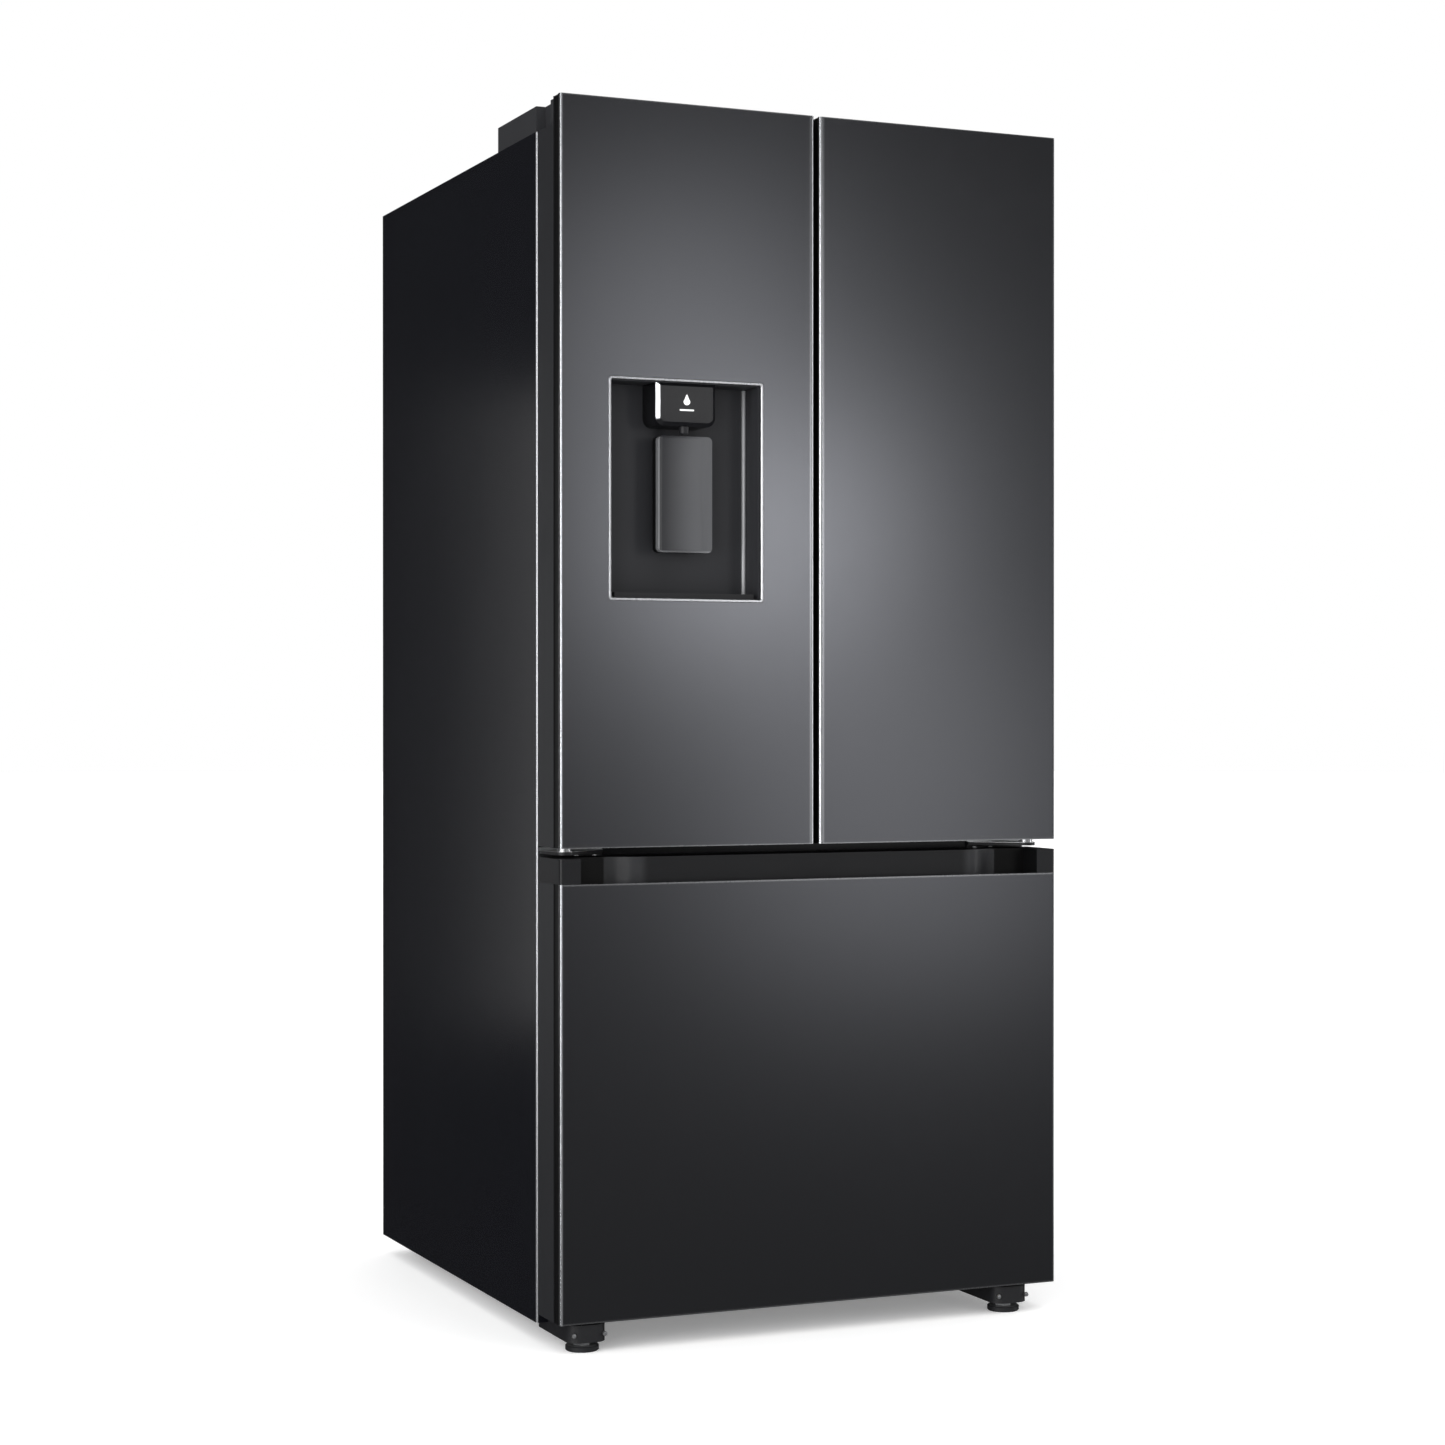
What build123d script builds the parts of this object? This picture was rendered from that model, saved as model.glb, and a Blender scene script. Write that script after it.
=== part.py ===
"""French door refrigerator: two swinging fridge doors over one freezer drawer.

X is to the right as seen from the front, Y to the back, Z up, in millimetres. The origin is
on the floor, in the middle of the footprint. Depths are given as t, counted back from the
plane of the door fronts.
"""

import os

from build123d import *

os.makedirs("parts", exist_ok=True)

# Overall size
WIDTH = 800
DEPTH = 859
HEIGHT = 1778
SIDE = WIDTH / 2

# Cabinet
CABINET_FRONT = 98
CABINET_BOTTOM = 29
CABINET_TOP = 1741
SHEET = 1.2
FLANGE = 28
CAVITY_SIDE = 352
CAVITY_BACK = 799
LINER = 2
FRIDGE_FLOOR = 742
FRIDGE_CEILING = 1691
FREEZER_FLOOR = 95
FREEZER_CEILING = 665
FREEZER_STEP = 300
FREEZER_LOWER_BACK = 560
FREEZER_UPPER_BACK = 790
MACHINE_FRONT = 599
MACHINE_TOP = 259.5
BASE_TOP = 31.5
FLANGE_SIDE = SIDE - FLANGE - 0.5
RAIL_BOTTOM = 676
RAIL_TOP = 737.5
APRON_TOP = 59.5
CLEAR = 0.4

# Doors and drawer
DOOR_BOTTOM = 715
DOOR_GAP = 8
DOOR_INNER = DOOR_GAP / 2
DOOR_BACK = 88
SKIN_RETURN = 6
SKIN_CORNER = 5
BAND_END = 26
BAND_DEPTH = 1.5
DOOR_WALL = 3
GASKET_WIDTH = 12
GASKET_BACK = 97.7
DRAWER_BOTTOM = 43
LIP_TOP = 664
DRAWER_TOP = 700

# Door hinges: the pin stands PIN_INSET in from the side and PIN_DEPTH behind the front
PIN_INSET = 24
PIN_DEPTH = 48
PIN_X = SIDE - PIN_INSET
PIN_RADIUS = 6
RUNNING = 0.05
RECESS_FLOOR = 1740
RECESS_LENGTH = 120
LIP_DEPTH = 26.5
BOSS_RADIUS = 11
HINGE_PLATE = 5

# Door liner ridges that hold the bins
RIDGE_OUTER = 344
RIDGE_INNER = 50
RIDGE_WIDTH = 24
RIDGE_BACK = 148
RIDGE_BOTTOM = 760
RIDGE_TOP = 1676
BIN_BACK = 218
LEFT_BINS = {"left_bin_lower": 830, "left_bin_upper": 1440}
RIGHT_BINS = {"right_bin_lower": 830, "right_bin_middle": 1150, "right_bin_upper": 1440}
BIN_HEIGHT = 140

# Dispenser in the left door
BEZEL_X = (-326, -85.6)
BEZEL_Z = (1066, 1384)
BEZEL_FACE = 3.8
BEZEL_DEPTH = 6
BEZEL_CORNERS = (5, 2.5)
TUB_BACK = 58
PADDLE_X = (-244, -160)
PADDLE_Z = (1137, 1304)
PADDLE_FRONT = 16
PADDLE_DEPTH = 22
PADDLE_PIVOT_DEPTH = 48
PADDLE_PIVOT_Z = 1296
PADDLE_PIN = 3
SPOUT_X = (-252, -159)
SPOUT_Z = (1317, 1379.8)

# Mullion bar, folded back behind the left door's free edge
MULLION_PIVOT = (-30, 109)
MULLION_Z = (756, 1676)

# Freezer slides: three nested members a side
SLIDE_Z = 395
SLIDE_FRONT = 104
SLIDE_BACK = 544

# Shelves and crispers
SHELF_FRONT = 240
SHELF_BACK = 760
SHELF_HEIGHTS = {"shelf_glass_upper": 1400, "shelf_glass_lower": 1150, "crisper_cover": 945}
GLASS = 5
CRISPER_FRONT = 262

# Feet and rollers
FOOT_CENTRES = {"foot_left": -354, "foot_right": 329}
BRACKET_WIDTH = 58
FOOT_DEPTH = 34
ROLLER_X = 340
ROLLER_DEPTH = 780
ROLLER_RADIUS = 14
AXLE_RADIUS = 4


def back(t):
    """The Y of a plane t behind the door fronts."""
    return t - DEPTH / 2


def block(x, t, z, mode=Mode.ADD):
    """A box between two values on each axis."""
    with Locations(((x[0] + x[1]) / 2, back((t[0] + t[1]) / 2), (z[0] + z[1]) / 2)):
        Box(x[1] - x[0], t[1] - t[0], z[1] - z[0], mode=mode)


def post(x, t, z, radius, mode=Mode.ADD):
    """An upright cylinder at x, t between two heights."""
    with Locations((x, back(t), (z[0] + z[1]) / 2)):
        Cylinder(radius, z[1] - z[0], mode=mode)


def bar(x, t, z, radius, mode=Mode.ADD):
    """A cylinder along X between two values of x."""
    with Locations(((x[0] + x[1]) / 2, back(t), z)):
        Cylinder(radius, x[1] - x[0], rotation=(0, 90, 0), mode=mode)


def grown(span, amount):
    """A span widened by amount at both ends."""
    return (span[0] - amount, span[1] + amount)


def save(shape, name):
    """Label a finished piece and write its STEP file."""
    shape.label = name
    export_step(shape, f"parts/{name}.step")


def mirrored(shape):
    """The same piece on the other side of the fridge."""
    return mirror(shape, about=Plane.YZ)


def both_sides(shape):
    """A left piece and its mirror image as one group of separate solids."""
    return Compound(children=[shape, mirrored(shape)])


# ---------------------------------------------------------------- cabinet


def make_cabinet_shell():
    """Painted steel wrap: two sides and a top, with a flange round the front."""
    with BuildPart() as cabinet_shell:
        block((-SIDE, SIDE), (CABINET_FRONT, 858), (CABINET_BOTTOM, CABINET_TOP))
        front = cabinet_shell.faces().sort_by(Axis.Y)[0]
        fillet(front.edges().filter_by(Axis.Z), radius=4)
        openings = [cabinet_shell.faces().sort_by(Axis.Y)[-1], cabinet_shell.faces().sort_by(Axis.Z)[0]]
        offset(amount=-SHEET, openings=openings, kind=Kind.INTERSECTION)
        wide = (FLANGE - SIDE, SIDE - FLANGE)
        high = (CABINET_BOTTOM - 1, CABINET_TOP - FLANGE)
        block(wide, (CABINET_FRONT - 1, CABINET_FRONT + 5), high, Mode.SUBTRACT)
    save(cabinet_shell.part, "cabinet_shell")


def make_insulation_foam():
    """The foam between shell and liners, as one slab for each wall."""
    wall = (CAVITY_SIDE + LINER + CLEAR, SIDE - SHEET - 1)
    inner = (-CAVITY_SIDE - LINER, CAVITY_SIDE + LINER)
    front = CABINET_FRONT + SHEET + 1
    rear = 857.6
    top = CABINET_TOP - SHEET - CLEAR
    base = BASE_TOP + CLEAR
    divider_bottom = FREEZER_CEILING + LINER + CLEAR
    divider_top = FRIDGE_FLOOR - LINER - CLEAR
    with BuildPart() as insulation_foam:
        for side in (wall, (-wall[1], -wall[0])):
            block(side, (front, rear), (MACHINE_TOP + CLEAR, top))
            block(side, (front, MACHINE_FRONT - CLEAR), (base, MACHINE_TOP))
        block(inner, (front, rear), (FRIDGE_CEILING + LINER + CLEAR, top))
        block(inner, (CAVITY_BACK + LINER + CLEAR, rear), (divider_bottom, FRIDGE_CEILING + LINER))
        block(inner, (CABINET_FRONT + 14.5, CAVITY_BACK + LINER), (divider_bottom, divider_top))
        behind = (FREEZER_UPPER_BACK + LINER + CLEAR, rear)
        block(inner, behind, (FREEZER_STEP - LINER, divider_bottom - CLEAR))
        step = (MACHINE_TOP + CLEAR, FREEZER_STEP - LINER - CLEAR)
        block(inner, (FREEZER_LOWER_BACK + LINER + CLEAR, rear), step)
        block(inner, (FREEZER_LOWER_BACK + LINER + CLEAR, MACHINE_FRONT - CLEAR), (base, MACHINE_TOP))
        block(inner, (front, FREEZER_LOWER_BACK + LINER), (base, FREEZER_FLOOR - LINER - CLEAR))
    save(insulation_foam.part, "insulation_foam")


def make_back_panel():
    """Thin steel back with pressed beads that stiffen it."""
    with BuildPart() as back_panel:
        block((-SIDE + 2, SIDE - 2), (858, 858.6), (262, CABINET_TOP - 3))
        for x in (-240, -80, 80, 240):
            block((x - 9, x + 9), (858, DEPTH), (330, 1660))
    save(back_panel.part, "back_panel")


def make_fridge_liner():
    """Moulded liner of the fridge compartment with ribs for the shelves."""
    cavity = (-CAVITY_SIDE, CAVITY_SIDE)
    with BuildPart() as fridge_liner:
        flange_z = (RAIL_TOP + 0.5, CABINET_TOP - FLANGE - 0.5)
        block((-FLANGE_SIDE, FLANGE_SIDE), (CABINET_FRONT, CABINET_FRONT + SHEET), flange_z)
        body_z = (FRIDGE_FLOOR - LINER, FRIDGE_CEILING + LINER)
        block(grown(cavity, LINER), (CABINET_FRONT, CAVITY_BACK + LINER), body_z)
        block(cavity, (CABINET_FRONT - 1, CAVITY_BACK), (FRIDGE_FLOOR, FRIDGE_CEILING), Mode.SUBTRACT)
        for z in SHELF_HEIGHTS.values():
            for x in ((-CAVITY_SIDE, -CAVITY_SIDE + 10), (CAVITY_SIDE - 10, CAVITY_SIDE)):
                block(x, (SHELF_FRONT + 10, SHELF_BACK - 5), (z - 12, z))
    save(fridge_liner.part, "fridge_liner")


def make_freezer_liner():
    """Moulded liner of the freezer, stepped over the machine compartment."""
    cavity = (-CAVITY_SIDE, CAVITY_SIDE)
    lower = (FREEZER_FLOOR, FREEZER_CEILING)
    upper = (FREEZER_STEP, FREEZER_CEILING)
    with BuildPart() as freezer_liner:
        flange_z = (APRON_TOP + 0.5, RAIL_BOTTOM - 0.5)
        block((-FLANGE_SIDE, FLANGE_SIDE), (CABINET_FRONT, CABINET_FRONT + SHEET), flange_z)
        block(grown(cavity, LINER), (CABINET_FRONT, FREEZER_LOWER_BACK + LINER), grown(lower, LINER))
        block(grown(cavity, LINER), (CABINET_FRONT, FREEZER_UPPER_BACK + LINER), grown(upper, LINER))
        block(cavity, (CABINET_FRONT - 1, FREEZER_LOWER_BACK), lower, Mode.SUBTRACT)
        block(cavity, (CABINET_FRONT - 1, FREEZER_UPPER_BACK), upper, Mode.SUBTRACT)
    save(freezer_liner.part, "freezer_liner")


def make_center_rail():
    """Steel rail across the front between fridge and freezer."""
    with BuildPart() as center_rail:
        face = (CABINET_FRONT, CABINET_FRONT + SHEET)
        block((-FLANGE_SIDE, FLANGE_SIDE), face, (RAIL_BOTTOM, RAIL_TOP))
        body = (-CAVITY_SIDE - LINER, CAVITY_SIDE + LINER)
        block(body, (CABINET_FRONT, CABINET_FRONT + 14), (RAIL_BOTTOM, RAIL_TOP))
        front = center_rail.faces().sort_by(Axis.Y)[0]
        chamfer(front.edges().filter_by(Axis.X), length=0.8)
    save(center_rail.part, "center_rail")


def make_base_frame():
    """Floor plate with a front apron, roller cheeks and axles, and the condenser fan's motor."""
    with BuildPart() as base_frame:
        block((-397.5, 397.5), (CABINET_FRONT + 3, 856.5), (CABINET_BOTTOM, BASE_TOP))
        block((-FLANGE_SIDE, FLANGE_SIDE), (CABINET_FRONT, CABINET_FRONT + 4), (CABINET_BOTTOM, BASE_TOP))
        block((-FLANGE_SIDE, FLANGE_SIDE), (CABINET_FRONT, CABINET_FRONT + SHEET), (BASE_TOP, APRON_TOP))
        for x in (-ROLLER_X, ROLLER_X):
            for cheek in (x - 16, x + 13):
                block((cheek, cheek + 3), (ROLLER_DEPTH - 18, ROLLER_DEPTH + 18), (6, CABINET_BOTTOM))
            bar((x - 16, x + 16), ROLLER_DEPTH, ROLLER_RADIUS, AXLE_RADIUS)
        block((-42, -18), (705, 755), (BASE_TOP, 140))
        bar((-52, -12), 730, 140, 26)
        bar((-82, -50), 730, 140, 3)
    save(base_frame.part, "base_frame")


def make_leg_brackets():
    """Two pressed brackets that reach forward under the drawer to carry the feet."""
    brackets = []
    for centre in FOOT_CENTRES.values():
        with BuildPart() as bracket:
            with BuildSketch(Plane.XY.offset(15)):
                with Locations((centre, back(77.5))):
                    RectangleRounded(BRACKET_WIDTH, 145, radius=18)
            extrude(amount=25)
            under_cabinet = (CABINET_FRONT - 2, 200)
            block((centre - 40, centre + 40), under_cabinet, (CABINET_BOTTOM, 45), Mode.SUBTRACT)
            offset(amount=-3, openings=bracket.faces().sort_by(Axis.Z)[0], kind=Kind.INTERSECTION)
            post(centre, FOOT_DEPTH, (24, 40), 9)
            post(centre, FOOT_DEPTH, (20, 45), 5 + RUNNING, Mode.SUBTRACT)
        brackets.append(bracket.part)
    save(Compound(children=brackets), "leg_brackets")


def make_foot(name, centre):
    """Levelling foot: a round pad, a hexagon for the spanner and a threaded stud."""
    with BuildPart() as foot:
        post(centre, FOOT_DEPTH, (0, 8), 24)
        chamfer(foot.edges().filter_by(GeomType.CIRCLE), length=1.2)
        with BuildSketch(Plane.XY.offset(8)):
            with Locations((centre, back(FOOT_DEPTH))):
                RegularPolygon(13, 6)
        extrude(amount=6)
        post(centre, FOOT_DEPTH, (14, 41), 5)
    save(foot.part, name)


def make_roller(name, x):
    """Rear roller that turns on the axle between its two cheeks."""
    with BuildPart() as roller:
        bar((x - 12, x + 12), ROLLER_DEPTH, ROLLER_RADIUS, ROLLER_RADIUS)
        chamfer(roller.edges().filter_by(GeomType.CIRCLE), length=1.5)
        bar((x - 13, x + 13), ROLLER_DEPTH, ROLLER_RADIUS, AXLE_RADIUS + RUNNING, Mode.SUBTRACT)
    save(roller.part, name)


# ---------------------------------------------------------------- hinges


def top_screw_places():
    """Where the screws stand on the left top hinge's plate."""
    return [(-378, 140), (-352, 140), (-365, 215)]


def middle_screw_places():
    """Where the screws lie on the left middle hinge's flange, as x and z."""
    return [(-340, 697), (-312, 697)]


def make_top_hinges():
    """Flat arms on the cabinet top, each with the pin its door hangs on."""
    with BuildPart() as top_hinge:
        block((-390, -340), (110, 240), (CABINET_TOP, CABINET_TOP + HINGE_PLATE))
        block((-383, -348), (54, 110), (CABINET_TOP, CABINET_TOP + HINGE_PLATE))
        post(-PIN_X, PIN_DEPTH, (CABINET_TOP, CABINET_TOP + HINGE_PLATE), 14)
        post(-PIN_X, PIN_DEPTH, (CABINET_TOP - 25, CABINET_TOP + HINGE_PLATE + 6), PIN_RADIUS)
        for x, t in top_screw_places():
            post(x, t, (CABINET_TOP - 1, CABINET_TOP + 10), 2.8, Mode.SUBTRACT)
    save(both_sides(top_hinge.part), "top_hinges")


def make_top_hinge_covers():
    """Moulded covers over the top hinges: a box on the cabinet and a round nose on the pin."""
    wall = 2
    with BuildPart() as cover:
        with BuildSketch(Plane.XY.offset(CABINET_TOP)):
            with Locations((-SIDE + 36, back(181))):
                Rectangle(72, 168)
            with Locations((-365, back(72.5))):
                Rectangle(42, 49)
            with Locations((-PIN_X, back(PIN_DEPTH))):
                Circle(19)
        extrude(amount=HEIGHT - 0.5 - CABINET_TOP)
        step = cover.edges().filter_by(Axis.Y).sort_by(Axis.Z)[-2:]
        fillet(step.sort_by(Axis.X)[0], radius=3)
        offset(amount=-wall, openings=cover.faces().sort_by(Axis.Z)[0], kind=Kind.INTERSECTION)
    save(both_sides(cover.part), "top_hinge_covers")


def make_middle_hinges():
    """Brackets between door and drawer: a flange on the cabinet and a plate with the lower pin."""
    plate = (704, 709)
    with BuildPart() as middle_hinge:
        with BuildSketch(Plane.XY.offset(plate[0])):
            with Locations((-348, back(95))):
                Rectangle(96, 6)
            with Locations((-PIN_X, back(PIN_DEPTH))):
                Circle(14)
            make_hull()
        extrude(amount=plate[1] - plate[0])
        block((-396, -300), (95.5, CABINET_FRONT), (691, 713))
        post(-PIN_X, PIN_DEPTH, (plate[1], plate[1] + 5), 10)
        post(-PIN_X, PIN_DEPTH, (plate[1], DOOR_BOTTOM + 20), PIN_RADIUS)
        for x, z in middle_screw_places():
            with BuildSketch(Plane.XZ.offset(-back(90))):
                with Locations((x, z)):
                    Circle(2.8)
            extrude(amount=-12, mode=Mode.SUBTRACT)
    save(both_sides(middle_hinge.part), "middle_hinges")


def make_hinge_screws():
    """Button-head screws that hold the four hinges to the cabinet."""
    with BuildPart() as screws:
        for x, t in top_screw_places():
            post(x, t, (CABINET_TOP - 12, CABINET_TOP + HINGE_PLATE), 2.5)
            post(x, t, (CABINET_TOP + HINGE_PLATE, CABINET_TOP + HINGE_PLATE + 3), 5)
        for x, z in middle_screw_places():
            with BuildSketch(Plane.XZ.offset(-back(95.5))):
                with Locations((x, z)):
                    Circle(4.5)
            extrude(amount=2.5)
            with BuildSketch(Plane.XZ.offset(-back(95.5))):
                with Locations((x, z)):
                    Circle(2.5)
            extrude(amount=-14)
    save(both_sides(screws.part), "hinge_screws")


# ---------------------------------------------------------------- cold side and machine side


def make_compressor():
    """Hermetic compressor: a domed steel can on a foot plate."""
    centre = (150, 735)
    with BuildPart() as compressor:
        post(*centre, (44, 200), 78)
        fillet(compressor.edges().filter_by(GeomType.CIRCLE), radius=30)
        block((centre[0] - 90, centre[0] + 90), (centre[1] - 60, centre[1] + 60), (40, 46))
        for dx in (-75, 75):
            for dt in (-45, 45):
                post(centre[0] + dx, centre[1] + dt, (BASE_TOP, 42), 12)
        post(centre[0] + 40, centre[1] + 30, (150, 235), 5)
    save(compressor.part, "compressor")


def make_condenser_coil():
    """Finned condenser: tubes along X through thin plates."""
    fins = 16
    with BuildPart() as condenser_coil:
        for t in (660, 720, 780):
            for z in (80, 130, 180, 230):
                bar((-330, -130), t, z, 4)
        with Locations((-230, back(720), 155)):
            with GridLocations(11, 1, fins, 1):
                Box(1, 180, 200)
        for x in (-330, -131):
            block((x, x + 2), (628, 812), (BASE_TOP, 256))
    save(condenser_coil.part, "condenser_coil")


def make_condenser_fan():
    """Five-bladed fan on the motor's shaft."""
    centre = back(730)
    with BuildPart() as condenser_fan:
        bar((-78, -60), 730, 140, 20)
        with BuildSketch(Plane.YZ.offset(-69)):
            with Locations((centre, 140)):
                with PolarLocations(42, 5):
                    SlotOverall(60, 34)
        extrude(amount=1.2, both=True)
        bar((-90, -50), 730, 140, 3 + RUNNING, Mode.SUBTRACT)
    save(condenser_fan.part, "condenser_fan")


def make_compressor_cover():
    """Rear cover of the machine compartment with air slots and the cord outlet."""
    with BuildPart() as compressor_cover:
        block((-394, 394), (857, DEPTH), (33, 257))
        with BuildSketch(Plane.XZ.offset(-back(856))):
            for x in (-216, 150):
                with Locations((x, 150)):
                    with GridLocations(14, 56, 16, 3):
                        SlotOverall(40, 6, rotation=90)
            with Locations((-345, 90)):
                Circle(11)
        extrude(amount=-5, mode=Mode.SUBTRACT)
    save(compressor_cover.part, "compressor_cover")


def make_evaporator():
    """Finned evaporator behind the freezer's duct cover."""
    fins = 18
    with BuildPart() as evaporator:
        for t in (720, 755):
            for z in (360, 420, 480, 540, 600):
                bar((-230, 230), t, z, 4)
        with Locations((0, back(738), 480)):
            with GridLocations(25, 1, fins, 1):
                Box(1, 70, 300)
        for x in (-232, 230):
            block((x, x + 2), (700, 776), (FREEZER_STEP + 1, 640))
    save(evaporator.part, "evaporator")


def make_freezer_duct_cover():
    """Panel across the back of the freezer with two rows of air slots."""
    with BuildPart() as freezer_duct_cover:
        block((-350, 350), (686, 690), (FREEZER_STEP + 1, FREEZER_CEILING - 2))
        with BuildSketch(Plane.XZ.offset(-back(684))):
            for z in (360, 600):
                with Locations((0, z)):
                    with GridLocations(70, 1, 8, 1):
                        SlotOverall(46, 12)
        extrude(amount=-8, mode=Mode.SUBTRACT)
    save(freezer_duct_cover.part, "freezer_duct_cover")


def make_fridge_duct_cover():
    """Air column up the back of the fridge with one outlet slot for each shelf."""
    with BuildPart() as fridge_duct_cover:
        block((-75, 75), (774, CAVITY_BACK - 0.2), (960, FRIDGE_CEILING - 12))
        fillet(fridge_duct_cover.faces().sort_by(Axis.Y)[0].edges(), radius=8)
        for z in (1050, 1280, 1560):
            block((-50, 50), (770, 786), (z - 8, z + 8), Mode.SUBTRACT)
    save(fridge_duct_cover.part, "fridge_duct_cover")


def make_shelf(name, z):
    """Tempered glass shelf that rests on the liner's ribs."""
    with BuildPart() as shelf:
        block((-350, 350), (SHELF_FRONT, SHELF_BACK), (z, z + GLASS))
        chamfer(shelf.faces().sort_by(Axis.Z)[-1].edges(), length=0.8)
    save(shelf.part, name)


# ---------------------------------------------------------------- trays and slides


def tray(x, t, z, wall, corner):
    """An open-topped moulded tray with rounded upright corners."""
    with BuildPart() as part:
        block(x, t, z)
        fillet(part.edges().filter_by(Axis.Z), radius=corner)
        offset(amount=-wall, openings=part.faces().sort_by(Axis.Z)[-1], kind=Kind.INTERSECTION)
    return part.part


def make_crisper(name, x):
    """Crisper drawer with a grip rail along its front."""
    z = (744, 928)
    with BuildPart() as crisper:
        add(tray(x, (CRISPER_FRONT, SHELF_BACK - 10), z, 2.5, 14))
        block((x[0] + 20, x[1] - 20), (CRISPER_FRONT - 14, CRISPER_FRONT + 1), (z[1] - 12, z[1]))
    save(crisper.part, name)


def make_slides():
    """Outer, middle and inner members of the freezer slides, nested from the wall inwards."""
    length = (SLIDE_FRONT, SLIDE_BACK)
    with BuildPart() as outer:
        block((-351.9, -342), length, (SLIDE_Z - 19, SLIDE_Z + 19))
        block((-348, -341), grown(length, 1), (SLIDE_Z - 13, SLIDE_Z + 13), Mode.SUBTRACT)
    save(both_sides(outer.part), "slide_outer_members")
    with BuildPart() as middle:
        block((-347, -334), length, (SLIDE_Z - 11, SLIDE_Z + 11))
        block((-340, -333), grown(length, 1), (SLIDE_Z - 6, SLIDE_Z + 6), Mode.SUBTRACT)
    save(both_sides(middle.part), "slide_middle_members")
    with BuildPart() as inner:
        block((-339, -326), (DOOR_BACK, SLIDE_BACK), (SLIDE_Z - 4, SLIDE_Z + 4))
        block((-339, -310), (DOOR_BACK, DOOR_BACK + 4), (SLIDE_Z - 30, SLIDE_Z + 4))
    save(both_sides(inner.part), "slide_inner_members")


def make_lower_basket():
    """Deep freezer basket hung by its rim on the inner slide members."""
    rim = (SLIDE_Z + 4, SLIDE_Z + 8)
    with BuildPart() as lower_basket:
        add(tray((-318, 318), (106, 540), (108, rim[1]), 3, 16))
        for x in ((-333, -316), (316, 333)):
            block(x, (130, 530), rim)
    save(lower_basket.part, "lower_basket")


def make_upper_basket():
    """Shallow freezer basket carried by the middle slide members."""
    with BuildPart() as upper_basket:
        add(tray((-318, 318), (130, 544), (441, 590), 3, 16))
        for side in (-1, 1):
            block(sorted((side * 336, side * 340)), (160, 520), (SLIDE_Z + 11, 445))
            block(sorted((side * 316, side * 340)), (160, 520), (441, 445))
    save(upper_basket.part, "upper_basket")


# ---------------------------------------------------------------- doors, built as the left one


DOOR_X = (-SIDE, -DOOR_INNER)
DOOR_Z = (DOOR_BOTTOM, HEIGHT)
FILL_X = (DOOR_X[0] + DOOR_WALL + 0.2, DOOR_X[1] - DOOR_WALL - 0.2)
FILL_T = (2, DOOR_BACK - DOOR_WALL - 0.2)
RECESS_X = (DOOR_X[0], DOOR_X[0] + RECESS_LENGTH)


def front_skin(x, z):
    """Steel front with rounded upright edges and short returns at the sides."""
    with BuildPart() as skin:
        block(x, (0, SKIN_RETURN), z)
        front = skin.faces().sort_by(Axis.Y)[0]
        fillet(front.edges().filter_by(Axis.Z), radius=SKIN_CORNER)
        ends = skin.faces().filter_by(Axis.Z)
        openings = [*ends, skin.faces().sort_by(Axis.Y)[-1]]
        offset(amount=-SHEET, openings=openings, kind=Kind.INTERSECTION)
    return skin.part


def side_band(x, z):
    """Cut the shallow groove that runs down both sides behind the steel front."""
    for edge in ((x[0], x[0] + BAND_DEPTH), (x[1] - BAND_DEPTH, x[1])):
        block(edge, (SKIN_RETURN, BAND_END), z, Mode.SUBTRACT)


def ridge_frame(depth, inset, mode=Mode.ADD):
    """The raised frame on the door liner, or its hollow when inset is the wall."""
    x = (-RIDGE_OUTER + inset, -RIDGE_INNER - inset)
    z = (RIDGE_BOTTOM + inset, RIDGE_TOP - inset)
    width = RIDGE_WIDTH - 2 * inset
    block((x[0], x[0] + width), depth, z, mode)
    block((x[1] - width, x[1]), depth, z, mode)
    block(x, depth, (z[0], z[0] + width), mode)
    block(x, depth, (z[1] - width, z[1]), mode)


def door_liner(bins):
    """Moulded door body: side walls, back and the raised frame that holds the bins."""
    wall = 2.5
    rib = 12
    with BuildPart() as liner:
        block(DOOR_X, (SKIN_RETURN + 0.3, DOOR_BACK), DOOR_Z)
        side_band(DOOR_X, grown(DOOR_Z, 1))
        hollow_x = grown(DOOR_X, -DOOR_WALL)
        block(hollow_x, (SKIN_RETURN, DOOR_BACK - DOOR_WALL), grown(DOOR_Z, 1), Mode.SUBTRACT)
        recess_z = (RECESS_FLOOR, HEIGHT + 1)
        block(grown(RECESS_X, 0.01), (LIP_DEPTH, DOOR_BACK + 1), recess_z, Mode.SUBTRACT)
        ridge_frame((DOOR_BACK, RIDGE_BACK), 0)
        ridge_frame((DOOR_BACK - DOOR_WALL - 1, RIDGE_BACK - wall), wall, Mode.SUBTRACT)
        for z in bins:
            left = -RIDGE_OUTER + RIDGE_WIDTH
            right = -RIDGE_INNER - RIDGE_WIDTH
            block((left, left + rib), (DOOR_BACK, RIDGE_BACK - 8), (z - 8, z))
            block((right - rib, right), (DOOR_BACK, RIDGE_BACK - 8), (z - 8, z))
    return liner.part


def ridge_cores():
    """Foam inside the raised frame, one slab for each side of it."""
    inset = 3
    width = RIDGE_WIDTH - 2 * inset
    depth = (DOOR_BACK - DOOR_WALL + 0.4, RIDGE_BACK - inset)
    x = (-RIDGE_OUTER + inset, -RIDGE_INNER - inset)
    z = (RIDGE_BOTTOM + inset, RIDGE_TOP - inset)
    block((x[0], x[0] + width), depth, z)
    block((x[1] - width, x[1]), depth, z)
    between = (x[0] + width + CLEAR, x[1] - width - CLEAR)
    block(between, depth, (z[0], z[0] + width))
    block(between, depth, (z[1] - width, z[1]))


FOAM_Z = (743, 1712)


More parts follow.
